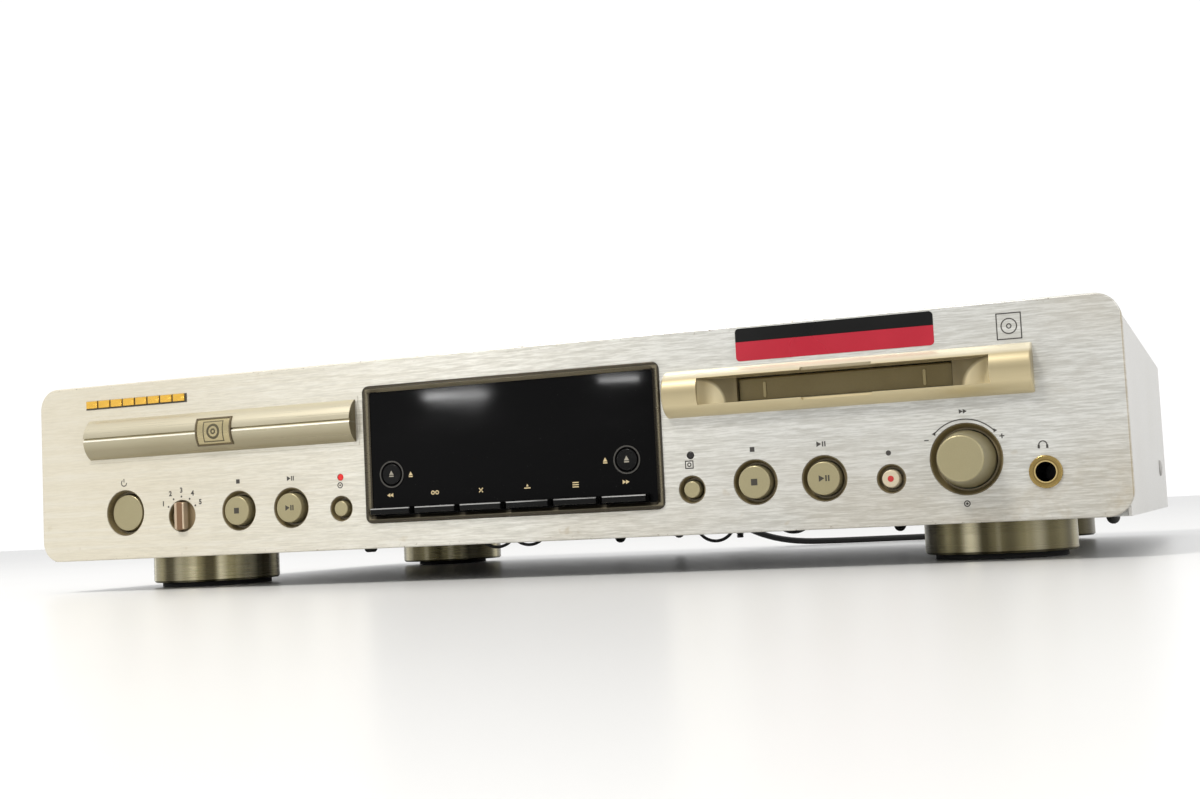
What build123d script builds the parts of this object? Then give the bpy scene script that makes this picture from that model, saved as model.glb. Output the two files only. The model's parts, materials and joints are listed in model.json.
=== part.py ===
from build123d import *
import math
import os

# A disc deck with a compact disc drawer on the left and a minidisc slot on the right.
# Millimetres, +Z up, the front looks along -Y, Z = 0 is the surface that the feet stand on.

os.makedirs("parts", exist_ok=True)

# Case
plate_width = 440.0
plate_height = 73.0
plate_thick = 5.0
plate_corner = 8.5
plate_edge = 0.6
ground_gap = 13.1
case_depth = 285.0
left_end, right_end = -plate_width / 2, plate_width / 2
cover_drop = 2.9
cover_inset = 1.5
cover_sheet = 1.0
cover_fold = 2.5
chassis_sheet = 1.2
chassis_lip = 11.0
panel_inset = 0.8
sheet_gap = 0.3
seam_gap = 0.3
vent_length = 34.0
vent_width = 3.0
vent_pitch = 7.5
vent_count = 12

# Feet
foot_radius = 27.0
foot_lift = 1.8
front_foot_x = right_end - 50.0
front_foot_depth = 52.8
rear_foot_x = right_end - 60.9
rear_foot_depth = case_depth - 28.1
front_pad_radius = 23.6
rear_pad_radius = 18.6
pad_thick = 4.0

# Cover screws at the sides and the back, and board clips under the floor
screw_head, screw_height, screw_inset = 3.6, 1.8, 7.0
side_screw_depth, side_screw_height = case_depth - 61.0, 31.3
rear_screw_x = (left_end + 20.0, 0.0, right_end - 20.0)
clip_radius, clip_drop = 3.4, 4.8
cap_radius, cap_drop = 2.8, 2.2
clip_left, clip_middle, clip_right = left_end + 186.0, right_end - 114.0, right_end - 18.0
rear_clip_x, rear_clip_depth = left_end + 191.0, case_depth - 15.0
cap_x, cap_depth = left_end + 124.0, 60.0
clip_places = [(clip_middle, 191.0), (clip_left, 196.0), (clip_right, 155.0),
               (rear_clip_x, rear_clip_depth)]

# Moulded frame behind the plate
frame_thick = 3.2
frame_margin = 5.0
frame_corner = 5.0
sleeve_fit = 0.1
sleeve_sink = 0.3
sleeve_lip = 0.3
bowl_depth = 2.7
bowl_floor = 0.6
bowl_rim = 0.2
button_gap = 0.35

# Controls: height above the surface, distance from the nearer end of the plate
power_x, power_z = left_end + 43.2, 32.2
mode_x, mode_z = left_end + 71.5, 29.7
cd_stop_x, cd_play_x, cd_select_x = left_end + 99.1, left_end + 123.7, left_end + 146.6
md_select_x, md_stop_x = right_end - 149.0, right_end - 125.5
md_play_x, record_x = right_end - 100.8, right_end - 77.7
transport_z = 30.6
select_z = 29.2
jog_x, jog_z = right_end - 52.3, 34.45
phones_x, phones_z = right_end - 26.9, 28.8
lamp_z = 41.4

power_bore, transport_bore, select_bore, jog_bore, mode_bore = 9.5, 8.05, 5.05, 12.15, 6.6
power_face, transport_face, select_face = 7.4, 5.65, 2.9
power_proud, transport_proud, select_proud, record_proud = -1.4, 1.7, 0.4, 1.2
power_travel = 3.0
button_travel = 1.0
button_flare = 0.3
button_drum = 2.0
button_edge = 0.4
flange_width = 1.3
flange_thick = 1.0
stem_radius = 1.9

jog_face_radius = 7.65
jog_base_radius = 9.6
jog_proud = 12.6
jog_edge = 0.7
jog_shaft_radius = 2.1
jog_shaft_reach = 6.0
jog_rear = 7.0
jog_wall = 1.6
jog_hub = 2.0
jog_cap = 1.0
jog_collar, jog_collar_thick = 1.3, 1.2
shaft_seat = 1.5
shaft_fit = 0.08

mode_radius = 5.9
mode_sink = 2.0
mode_grip_width = 4.6
mode_grip_proud = 2.4
mode_rear = 8.0

lamp_radius = 1.25
lamp_gap = 0.15

phones_ring_radius = 5.4
phones_bore = 3.3
phones_proud = 0.9
phones_depth = 30.0
phones_body = 14.0
phones_flange = 1.0

# Control board
board_depth = 20.0
board_thick = 1.6
board_bottom = 17.0
board_shelf = 47.0
board_top = 77.0
board_left = left_end + 20.0
board_right = right_end - 38.0
switch_size = 6.2
switch_height = 3.6
encoder_size = 12.0
encoder_height = 6.0
press_gap = 0.3

# Display
display_left, display_right = left_end + 158.0, right_end - 159.5
display_bottom, display_top = 22.8, 76.0
display_corner = 2.6
trim_proud = 1.0
trim_width = 2.7
trim_bevel = 1.2
window_sink = 0.5
window_thick = 2.5
window_gap = 0.1
tube_inset = 19.25
tube_width = display_right - display_left - 2 * tube_inset
tube_height, tube_thick = 26.0, 7.0
tube_z = 56.0
keys_left, keys_right = display_left + 3.65, display_right - 5.95
key_count, key_space = 6, 2.3
key_pitch = (keys_right - keys_left + key_space) / key_count
key_width, key_height = key_pitch - key_space, 2.4
key_first_x = keys_left + key_width / 2
key_z = 27.2
key_proud = 4.0
key_gap = 0.3
soft_button_radius = 4.0
soft_button_proud = 0.4
ring_outer, ring_inner, ring_height = 5.2, 4.7, 0.3
drawer_button_x, eject_button_x, soft_button_z = display_left + 11.3, display_right - 14.0, 41.3

# Compact disc drawer
drawer_left, drawer_right = left_end + 26.3, left_end + 154.5
drawer_bottom, drawer_top = 54.7, 71.5
drawer_proud = 5.0
drawer_groove, groove_above, groove_below = 0.8, 0.7, 0.8
drawer_back = 2.0
drawer_gap = 0.6
disc_x = left_end + 89.5
disc_depth = 76.0
disc_well_radius = 60.5
tray_width = 126.0
tray_bottom, tray_top = 58.5, 63.8
well_floor = 61.0
tray_plate_end = 148.0
tray_end = 192.0
tray_arm = 13.0
tray_slot = 16.5
rack_module = 1.5
pinion_teeth = 16
rack_back = 3.0
rack_bottom = 55.4
rack_start = 28.0
wheel_space = 3.0
wheel_gap = 1.0
gear_hub = 5.0
drive_post, idler_post = 4.0, 3.5
gear_depth = 44.0
gear_x = disc_x - 43.5
gear_module = 1.0
drive_teeth, idler_small_teeth, idler_teeth, motor_teeth = 36, 10, 30, 10
backlash = 0.3
mesh_gap = 0.2
gear_thick = 2.6
axle_radius = 1.5

# Compact disc loader
loader_base, loader_base_thick = 30.0, 2.0
loader_front, loader_rear = 26.0, 190.0
loader_wall = 2.5
loader_wall_top = 66.0
tray_side_gap = 1.0
rail_gap = 0.3
rail_width = 3.0
rail_thick = 1.4
keeper_length = 12.0
keeper_depths = (40.0, 110.0)
loader_post, loader_post_inset = 4.0, 12.0
deck_width = 76.0
deck_front, deck_pivot_depth = 64.0, 165.0
deck_top, deck_thick = 52.5, 2.0
deck_pivot_z = 49.0
deck_pin = 2.0
lug_thick, lug_length, lug_cap, lug_gap = 4.0, 14.0, 5.0, 1.3
ear_thick, ear_length, ear_drop = 4.0, 8.0, 3.0
rod_block, rod_cap = 3.0, 0.8
spindle_radius = 14.5
spindle_top = 63.0
platter_thick = 1.7
hub_radius, hub_top = 7.2, 65.6
neck_radius = 5.0
spindle_shaft = 1.5
spindle_motor_radius, spindle_motor_height = 12.0, 9.0
pickup_rest = 25.0
pickup_travel = 34.0
pickup_width, pickup_length = 26.0, 18.0
pickup_bottom, pickup_top = 52.9, 58.1
lens_radius, lens_top = 3.6, 61.3
rod_radius = 1.5
rod_offset = 9.5
rod_z = 55.4
bridge_front, bridge_length = 61.0, 30.0
bridge_bottom, bridge_thick = 70.0, 1.2
clamper_radius = 15.0
clamper_bottom, clamper_body_top = 64.3, 69.2
clamper_neck = 10.0
clamper_flange = 13.0
motor_radius, motor_gap = 10.0, 0.8
motor_shaft, motor_bore = 1.0, 8.0

# Minidisc slot and drive
bezel_left, bezel_right = right_end - 156.8, right_end - 28.6
bezel_bottom, bezel_top = 55.0, 71.7
bezel_edge = 0.6
bezel_proud = 7.0
collar_left, collar_right = right_end - 145.5, right_end - 40.5
collar_bottom, collar_top = 57.2, 70.6
collar_depth = 8.0
recess_left, recess_right = right_end - 143.6, right_end - 42.1
recess_bottom, recess_top = 58.8, 68.3
recess_mouth = 5.2
recess_floor = 4.0
slot_left, slot_right = right_end - 131.7, right_end - 55.7
slot_bottom, slot_top = 59.6, 68.2
notch_width, notch_step = 24.8, 0.9
flap_gap = 0.45
flap_front, flap_thick = 6.1, 1.6
flap_drop = 1.1
flap_pin, flap_pin_length = 0.5, 1.0
flap_rib_width, flap_rib_proud = 1.0, 0.4
flap_rib_inset = 9.3
md_x = (slot_left + slot_right) / 2
holder_front, holder_length = 18.0, 74.0
holder_bottom, holder_height = 60.2, 7.6
holder_inner = 69.4
holder_sheet = 1.0
holder_lip = 8.0
holder_drop = 4.5
md_base, md_base_thick = 48.0, 1.6
md_front, md_length = 16.5, 92.0
md_wall_gap, md_wall = 0.6, 1.6
holder_pin, holder_pin_inset = 1.2, 14.0
md_wall_top = 72.0
md_post = 3.5
md_boss, md_boss_rim = 2.4, 2.0
md_rod_cap = 0.8
md_disc_thick, md_disc_rim = 2.6, 2.5
md_spindle_depth = 54.0
md_spindle_radius, md_spindle_top = 7.0, 57.6
md_pickup_rest, md_pickup_travel = 18.0, 17.0
md_pickup_bottom, md_pickup_top = 50.4, 55.2
md_pickup_width, md_pickup_length = 24.0, 16.0
md_rod, md_rod_offset, md_rod_z = 1.2, 8.0, 52.8

# Boards, supply and rear panel
main_left, main_right = left_end + 170.0, right_end - 14.0
main_front, main_rear = 122.0, case_depth - 9.0
main_z = 20.0
capacitor_radius, capacitor_height = 6.0, 22.0
capacitor_pitch_x, capacitor_pitch_y = 17.0, 19.0
sink_length, sink_fin, sink_height, sink_pitch, sink_fins = 60.0, 18.0, 32.0, 7.5, 8
sink_wall, fin_thick = 3.0, 1.6
capacitor_inset, capacitor_back = 22.0, 40.0
chip_inset, chip_back = 70.0, 50.0
sink_inset, sink_back = 48.0, 34.0
chip_size, chip_height = 28.0, 4.0
board_stand, board_stand_inset = 3.2, 8.0
transformer_x, transformer_depth = left_end + 70.0, (loader_rear + case_depth - 3.0) / 2
core_width, core_length, core_height = 66.0, 44.0, 52.0
bobbin_width, bobbin_length, bobbin_inset = 36.0, 60.0, 8.0
jack_radius, jack_length, jack_bore = 4.15, 9.0, 1.7
jack_first_x, jack_pitch, jack_columns = right_end - 158.0, 18.0, 4
jack_low_z, jack_high_z = 34.0, 52.0
jack_plate_thick, jack_plate_margin = 2.0, 8.0
jack_block_depth, jack_block_margin, jack_hole_inset = 10.0, 6.0, 1.0
optical_x, optical_pitch, optical_z = right_end - 70.0, 18.0, 43.0
optical_width, optical_height = 8.6, 9.4
optical_wall = 1.6
optical_depth = 9.0

# Mains lead
cord_diameter = 3.5
cord_exit_x, cord_exit_z = -28.0, 26.0
relief_length = 24.0
relief_base = 5.2
relief_tip = 2.7
relief_flange, relief_flange_thick = 7.0, 1.6
coil_x, coil_depth = 122.0, 334.0
coil_pitch = 4.0
coil_turns_in, coil_turns_out = 4.75, 4.5
coil_inner = 11.0
plug_width, plug_height, plug_length = 24.0, 17.0, 24.0
plug_x, plug_depth = 127.0, 384.5
blade_width, blade_thick, blade_length, blade_pitch = 6.3, 1.5, 16.0, 12.7

# Derived places
panel_depth = case_depth - panel_inset - chassis_sheet
panel_face = panel_depth + chassis_sheet
jack_end = panel_face + jack_plate_thick + jack_length
front_y = (jog_proud - jack_end) / 2
plate_bottom = ground_gap
plate_top = ground_gap + plate_height
plate_middle = ground_gap + plate_height / 2
cover_top = plate_top - cover_drop
cover_half = plate_width / 2 - cover_inset
cover_front = plate_thick + seam_gap
chassis_half = cover_half - cover_sheet - sheet_gap
chassis_floor = ground_gap + chassis_sheet
frame_back = plate_thick + frame_thick
tray_left = disc_x - tray_width / 2
tray_right = disc_x + tray_width / 2
pinion_radius = rack_module * pinion_teeth / 2
drive_radius = gear_module * drive_teeth / 2
idler_small_radius = gear_module * idler_small_teeth / 2
idler_radius = gear_module * idler_teeth / 2
motor_gear_radius = gear_module * motor_teeth / 2
idler_x = gear_x + drive_radius + idler_small_radius + mesh_gap
motor_x = idler_x + idler_radius + motor_gear_radius + mesh_gap
pinion_bottom = rack_bottom + mesh_gap
drive_wheel_bottom = pinion_bottom - gear_thick - wheel_space
idler_wheel_bottom = drive_wheel_bottom - gear_thick - wheel_gap
loader_floor = loader_base + loader_base_thick
wall_inner = tray_width / 2 + tray_side_gap
wall_outer = wall_inner + loader_wall
cord_radius = cord_diameter / 2


def y_at(depth):
    return front_y + depth


def face_at(depth):
    # Upright plane at a depth behind the plate's front face, looking out of the front.
    return Plane.XZ.offset(-y_at(depth))


def level_at(height):
    return Plane.XY.offset(height)


def keep(piece, label):
    piece.part.label = label
    export_step(piece.part, f"parts/{label}.step")


def gear_outline(teeth, module, turn=0.0):
    # Involute teeth at 20 degrees, thinned by the backlash, one of them at the angle turn.
    pitch_radius = module * teeth / 2
    base_radius = pitch_radius * math.cos(math.radians(20))
    root_radius = pitch_radius - 1.25 * module
    tip_radius = pitch_radius + 0.9 * module
    start_radius = max(base_radius, root_radius)
    roll = math.tan(math.radians(20)) - math.radians(20)
    half_tooth = math.pi / (2 * teeth) - backlash / (2 * pitch_radius)
    flank = []
    for step in range(4):
        radius = start_radius + (tip_radius - start_radius) * step / 3
        slope = math.acos(min(1.0, base_radius / radius))
        flank.append((radius, half_tooth + roll - (math.tan(slope) - slope)))
    flank.insert(0, (root_radius, flank[0][1] + (0.0 if start_radius == root_radius else 0.02)))
    if start_radius == root_radius:
        flank.pop(0)
    outline = []
    for tooth in range(teeth):
        middle = turn + 2 * math.pi * tooth / teeth
        sides = [(radius, middle - angle) for radius, angle in flank]
        sides += [(radius, middle + angle) for radius, angle in reversed(flank)]
        outline += [(radius * math.cos(angle), radius * math.sin(angle)) for radius, angle in sides]
    return outline


# Where each control stands: x, z, bore in the plate, radius of the button at its base
transport_base = transport_face + button_flare
select_base = select_face + button_flare
power_base = power_face + button_flare
controls = [
    (power_x, power_z, power_bore, power_base),
    (cd_stop_x, transport_z, transport_bore, transport_base),
    (cd_play_x, transport_z, transport_bore, transport_base),
    (cd_select_x, select_z, select_bore, select_base),
    (md_select_x, select_z, select_bore, select_base),
    (md_stop_x, transport_z, transport_bore, transport_base),
    (md_play_x, transport_z, transport_bore, transport_base),
    (record_x, select_z, select_bore, select_base),
    (jog_x, jog_z, jog_bore, jog_base_radius),
    (mode_x, mode_z, mode_bore, mode_radius),
]
lamps = [cd_select_x, md_select_x]
soft_buttons = [drawer_button_x, eject_button_x]
keys_x = [key_first_x + key_pitch * index for index in range(key_count)]
display_x = (display_left + display_right) / 2
display_z = (display_bottom + display_top) / 2
display_width = display_right - display_left
display_height = display_top - display_bottom
drawer_x = (drawer_left + drawer_right) / 2
drawer_z = (drawer_bottom + drawer_top) / 2
drawer_width = drawer_right - drawer_left
drawer_height = drawer_top - drawer_bottom
collar_x = (collar_left + collar_right) / 2
collar_z = (collar_bottom + collar_top) / 2
collar_width = collar_right - collar_left
collar_height = collar_top - collar_bottom
bezel_z = (bezel_bottom + bezel_top) / 2
slot_x = (slot_left + slot_right) / 2
slot_z = (slot_bottom + slot_top) / 2
slot_width = slot_right - slot_left
slot_height = slot_top - slot_bottom
window_width = display_width - 2 * trim_width
window_height = display_height - 2 * trim_width


# Front plate
with BuildPart() as faceplate:
    with BuildSketch(face_at(0)):
        with Locations((0, plate_middle)):
            RectangleRounded(plate_width, plate_height, plate_corner)
    extrude(amount=-plate_thick)
    fillet(faceplate.faces().sort_by(Axis.Y)[0].edges(), plate_edge)
    with BuildSketch(face_at(0)):
        for x, z, bore, base in controls:
            with Locations((x, z)):
                Circle(bore)
        with Locations(*[(x, lamp_z) for x in lamps]):
            Circle(lamp_radius + lamp_gap)
        with Locations((phones_x, phones_z)):
            Circle(phones_ring_radius - phones_flange + 0.2)
        with Locations((display_x, display_z)):
            RectangleRounded(display_width + 2 * window_gap, display_height + 2 * window_gap,
                             display_corner + window_gap)
        with Locations((drawer_x, drawer_z)):
            Rectangle(drawer_width + 2 * drawer_gap, drawer_height + 2 * drawer_gap)
        with Locations((collar_x, collar_z)):
            Rectangle(collar_width + 2 * window_gap, collar_height + 2 * window_gap)
    extrude(amount=-plate_thick, mode=Mode.SUBTRACT)
keep(faceplate, "faceplate")

# Moulded frame that carries the controls, with a bowl-shaped sleeve in every bore
with BuildPart() as front_frame:
    with BuildSketch(face_at(plate_thick)):
        with Locations((0, plate_middle)):
            RectangleRounded(plate_width - 2 * frame_margin, plate_height - 2 * frame_margin,
                             frame_corner)
        with Locations((drawer_x, drawer_z)):
            Rectangle(drawer_width + 2 * drawer_gap, drawer_height + 2 * drawer_gap,
                      mode=Mode.SUBTRACT)
        with Locations((collar_x, collar_z)):
            Rectangle(collar_width + 2 * window_gap, collar_height + 2 * window_gap,
                      mode=Mode.SUBTRACT)
        with Locations((display_x, tube_z)):
            Rectangle(tube_width + 1, tube_height + 1, mode=Mode.SUBTRACT)
        with Locations((phones_x, phones_z)):
            Circle(phones_ring_radius - phones_flange + 0.2, mode=Mode.SUBTRACT)
        with Locations(*[(x, lamp_z) for x in lamps]):
            Circle(lamp_radius + lamp_gap, mode=Mode.SUBTRACT)
        with Locations(*[(x, soft_button_z) for x in soft_buttons]):
            Circle(soft_button_radius + button_gap, mode=Mode.SUBTRACT)
        with Locations(*[(x, key_z) for x in keys_x]):
            Rectangle(key_width + 2 * key_gap, key_height + 2 * key_gap, mode=Mode.SUBTRACT)
    extrude(amount=-frame_thick)
    with BuildSketch(face_at(sleeve_sink)):
        for x, z, bore, base in controls:
            with Locations((x, z)):
                Circle(bore - sleeve_fit)
    extrude(amount=-(plate_thick - sleeve_sink))
    with BuildSketch(face_at(sleeve_sink)):
        for x, z, bore, base in controls:
            with Locations((x, z)):
                Circle(base + button_gap)
    extrude(amount=-(frame_back - sleeve_sink), mode=Mode.SUBTRACT)
    for x, z, bore, base in controls:
        rim = bore - sleeve_fit - sleeve_lip
        floor = min(base + button_gap + bowl_floor, rim - bowl_rim)
        with BuildSketch(face_at(sleeve_sink)):
            with Locations((x, z)):
                Circle(rim)
        with BuildSketch(face_at(sleeve_sink + bowl_depth)):
            with Locations((x, z)):
                Circle(floor)
        loft(mode=Mode.SUBTRACT)
keep(front_frame, "front_frame")

# Folded steel cover, open below and in front
with BuildPart() as top_cover:
    with BuildSketch(face_at(cover_front)):
        with Locations((0, (cover_top + plate_bottom) / 2)):
            Rectangle(2 * cover_half, cover_top - plate_bottom)
    extrude(amount=-(case_depth - cover_front))
    fillet(top_cover.edges().filter_by(Axis.Y).group_by(Axis.Z)[-1], cover_fold)
    with BuildSketch(face_at(cover_front)):
        with Locations((0, (cover_top + plate_bottom - cover_sheet) / 2)):
            Rectangle(2 * (cover_half - cover_sheet), cover_top - plate_bottom - cover_sheet)
    extrude(amount=-(case_depth - cover_front), mode=Mode.SUBTRACT)
    with BuildSketch(level_at(cover_top)):
        for side_x in (transformer_x, md_x):
            with Locations((side_x, y_at(transformer_depth))):
                with GridLocations(vent_pitch, vent_length + 6, vent_count, 1):
                    SlotOverall(vent_length, vent_width, rotation=90)
    extrude(amount=-cover_sheet, mode=Mode.SUBTRACT)
keep(top_cover, "top_cover")

# Folded steel floor
with BuildPart() as bottom_chassis:
    with BuildSketch(face_at(frame_back + seam_gap)):
        with Locations((0, plate_bottom + chassis_lip / 2)):
            Rectangle(2 * chassis_half, chassis_lip)
        with Locations((0, chassis_floor + chassis_lip / 2)):
            Rectangle(2 * (chassis_half - chassis_sheet), chassis_lip, mode=Mode.SUBTRACT)
    extrude(amount=-(panel_depth - frame_back - seam_gap))
    with BuildSketch(level_at(chassis_floor)):
        for x in (main_left + board_stand_inset, main_right - board_stand_inset):
            for depth in (main_front + board_stand_inset, main_rear - board_stand_inset):
                with Locations((x, y_at(depth))):
                    Circle(board_stand)
    extrude(amount=main_z - chassis_floor)
keep(bottom_chassis, "bottom_chassis")

# Rear panel, with the outlets for the sockets and the lead
with BuildPart() as rear_panel:
    with BuildSketch(face_at(panel_depth)):
        with Locations((0, (plate_bottom + cover_top - cover_sheet - sheet_gap) / 2)):
            Rectangle(2 * chassis_half, cover_top - cover_sheet - sheet_gap - plate_bottom)
    extrude(amount=-chassis_sheet)
    with BuildSketch(face_at(panel_depth)):
        for column in range(jack_columns):
            for z in (jack_low_z, jack_high_z):
                with Locations((jack_first_x + column * jack_pitch, z)):
                    Circle(jack_radius - jack_hole_inset)
        for index in range(2):
            with Locations((optical_x + index * optical_pitch, optical_z)):
                Rectangle(optical_width, optical_height)
        with Locations((cord_exit_x, cord_exit_z)):
            Circle(relief_base)
    extrude(amount=-chassis_sheet, mode=Mode.SUBTRACT)
keep(rear_panel, "rear_panel")

# Feet
feet = [
    (-front_foot_x, front_foot_depth, front_pad_radius),
    (front_foot_x, front_foot_depth, front_pad_radius),
    (-rear_foot_x, rear_foot_depth, rear_pad_radius),
    (rear_foot_x, rear_foot_depth, rear_pad_radius),
]
with BuildPart() as foot_rings:
    for x, depth, pad_radius in feet:
        with BuildSketch(level_at(foot_lift)):
            with Locations((x, y_at(depth))):
                Circle(foot_radius)
        extrude(amount=plate_bottom - foot_lift)
        with BuildSketch(level_at(foot_lift)):
            with Locations((x, y_at(depth))):
                Circle(pad_radius)
        extrude(amount=pad_thick - foot_lift, mode=Mode.SUBTRACT)
    chamfer(foot_rings.faces().sort_by(Axis.Z)[:4].edges().filter_by(
        lambda edge: abs(edge.radius - foot_radius) < 0.01), 0.8)
keep(foot_rings, "foot_rings")

with BuildPart() as foot_pads:
    for x, depth, pad_radius in feet:
        with BuildSketch(level_at(0)):
            with Locations((x, y_at(depth))):
                Circle(pad_radius - 0.2)
        extrude(amount=pad_thick)
keep(foot_pads, "foot_pads")

# Fasteners: the heads of the cover's screws, and the clips below the floor
with BuildPart() as case_screws:
    for side in (-1, 1):
        plane = Plane(origin=(side * cover_half, y_at(side_screw_depth), side_screw_height),
                      x_dir=(0, 1, 0), z_dir=(side, 0, 0))
        with BuildSketch(plane):
            Circle(screw_head)
        extrude(amount=cover_inset - seam_gap, taper=20)
    for x in rear_screw_x:
        with BuildSketch(face_at(panel_face)):
            with Locations((x, cover_top - screw_inset)):
                Circle(screw_head)
        extrude(amount=-screw_height, taper=20)
    for x, depth in clip_places:
        with BuildSketch(level_at(plate_bottom)):
            with Locations((x, y_at(depth))):
                Circle(clip_radius)
        extrude(amount=-clip_drop, taper=12)
    with BuildSketch(level_at(plate_bottom)):
        with Locations((cap_x, y_at(cap_depth))):
            Circle(cap_radius)
    extrude(amount=-cap_drop, taper=12)
keep(case_screws, "case_screws")


def round_button(label, x, z, face_radius, proud, travel, flare=button_flare):
    # A drum with a rounded face, a flange that keeps it behind the frame, and a stem to its switch.
    base = face_radius + flare
    flange_depth = frame_back + press_gap
    stem_end = board_depth - switch_height - travel - press_gap
    with BuildPart() as button:
        with BuildSketch(face_at(-proud)):
            with Locations((x, z)):
                Circle(face_radius)
        with BuildSketch(face_at(button_drum - proud)):
            with Locations((x, z)):
                Circle(base)
        loft()
        fillet(button.faces().sort_by(Axis.Y)[0].edges(), button_edge)
        with BuildSketch(face_at(button_drum - proud)):
            with Locations((x, z)):
                Circle(base)
        extrude(amount=-(flange_depth + proud - button_drum))
        with BuildSketch(face_at(flange_depth)):
            with Locations((x, z)):
                Circle(base + flange_width)
        extrude(amount=-flange_thick)
        with BuildSketch(face_at(flange_depth + flange_thick)):
            with Locations((x, z)):
                Circle(stem_radius)
        extrude(amount=-(stem_end - flange_depth - flange_thick))
    keep(button, label)


round_button("power_button", power_x, power_z, power_face, power_proud, power_travel)
round_button("cd_stop_button", cd_stop_x, transport_z, transport_face, transport_proud, button_travel)
round_button("cd_play_button", cd_play_x, transport_z, transport_face, transport_proud, button_travel)
round_button("cd_select_button", cd_select_x, select_z, select_face, select_proud, button_travel)
round_button("md_select_button", md_select_x, select_z, select_face, select_proud, button_travel)
round_button("md_stop_button", md_stop_x, transport_z, transport_face, transport_proud, button_travel)
round_button("md_play_button", md_play_x, transport_z, transport_face, transport_proud, button_travel)
round_button("record_button", record_x, select_z, select_face, record_proud, button_travel)
for label, x in (("drawer_button", drawer_button_x), ("eject_button", eject_button_x)):
    round_button(label, x, soft_button_z, soft_button_radius, soft_button_proud - window_sink,
                 button_travel, 0.0)

# Six bar keys along the lower edge of the window
key_names = ["skip_back_key", "dub_key", "cancel_key", "edit_key", "menu_key", "skip_ahead_key"]
for label, x in zip(key_names, keys_x):
    flange_depth = frame_back + press_gap
    with BuildPart() as key:
        with BuildSketch(face_at(-key_proud)):
            with Locations((x, key_z)):
                Rectangle(key_width, key_height)
        extrude(amount=-(key_proud + flange_depth))
        fillet(key.faces().sort_by(Axis.Y)[0].edges(), 0.5)
        with BuildSketch(face_at(flange_depth)):
            with Locations((x, key_z)):
                Rectangle(key_width + 1.4, key_height + 2 * flange_width)
        extrude(amount=-flange_thick)
        with BuildSketch(face_at(flange_depth + flange_thick)):
            with Locations((x, key_z)):
                Circle(stem_radius)
        extrude(amount=-(board_depth - switch_height - button_travel - press_gap
                         - flange_depth - flange_thick))
    keep(key, label)

# Jog dial: a hollow knob that turns on a shaft, and the shaft that the push slides
with BuildPart() as jog_knob:
    with BuildSketch(face_at(-jog_proud)):
        with Locations((jog_x, jog_z)):
            Circle(jog_face_radius)
    with BuildSketch(face_at(-jog_proud * 0.45)):
        with Locations((jog_x, jog_z)):
            Circle(jog_face_radius + (jog_base_radius - jog_face_radius) * 0.5)
    with BuildSketch(face_at(0)):
        with Locations((jog_x, jog_z)):
            Circle(jog_base_radius)
    loft()
    fillet(jog_knob.faces().sort_by(Axis.Y)[0].edges(), jog_edge)
    with BuildSketch(face_at(0)):
        with Locations((jog_x, jog_z)):
            Circle(jog_base_radius)
    extrude(amount=-jog_rear)
    with BuildSketch(face_at(jog_rear)):
        with Locations((jog_x, jog_z)):
            Circle(jog_shaft_radius + shaft_fit)
    extrude(amount=jog_rear + jog_shaft_reach + press_gap, mode=Mode.SUBTRACT)
    with BuildSketch(face_at(jog_rear)):
        with Locations((jog_x, jog_z)):
            Circle(jog_base_radius - jog_wall)
            Circle(jog_shaft_radius + jog_hub, mode=Mode.SUBTRACT)
    extrude(amount=jog_rear - jog_cap, mode=Mode.SUBTRACT)
keep(jog_knob, "jog_knob")

with BuildPart() as jog_shaft:
    with BuildSketch(face_at(-jog_shaft_reach)):
        with Locations((jog_x, jog_z)):
            Circle(jog_shaft_radius)
    extrude(amount=-(jog_shaft_reach + board_depth - shaft_seat - button_travel - press_gap))
    with BuildSketch(face_at(jog_rear + press_gap)):
        with Locations((jog_x, jog_z)):
            Circle(jog_shaft_radius + jog_collar)
    extrude(amount=-jog_collar_thick)
keep(jog_shaft, "jog_shaft")

# Mode knob: a disc with an upright grip bar
with BuildPart() as mode_knob:
    with BuildSketch(face_at(mode_sink)):
        with Locations((mode_x, mode_z)):
            Circle(mode_radius)
    extrude(amount=-(mode_rear - mode_sink))
    with BuildSketch(face_at(mode_sink)):
        with Locations((mode_x, mode_z)):
            Circle(mode_radius - 0.2)
            Rectangle(mode_grip_width, 3 * mode_radius, mode=Mode.INTERSECT)
    extrude(amount=mode_sink + mode_grip_proud)
    fillet(mode_knob.faces().sort_by(Axis.Y)[0].edges(), 0.6)
    with BuildSketch(face_at(mode_rear)):
        with Locations((mode_x, mode_z)):
            Circle(jog_shaft_radius)
    extrude(amount=-(board_depth - shaft_seat - press_gap - mode_rear))
keep(mode_knob, "mode_knob")

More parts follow.
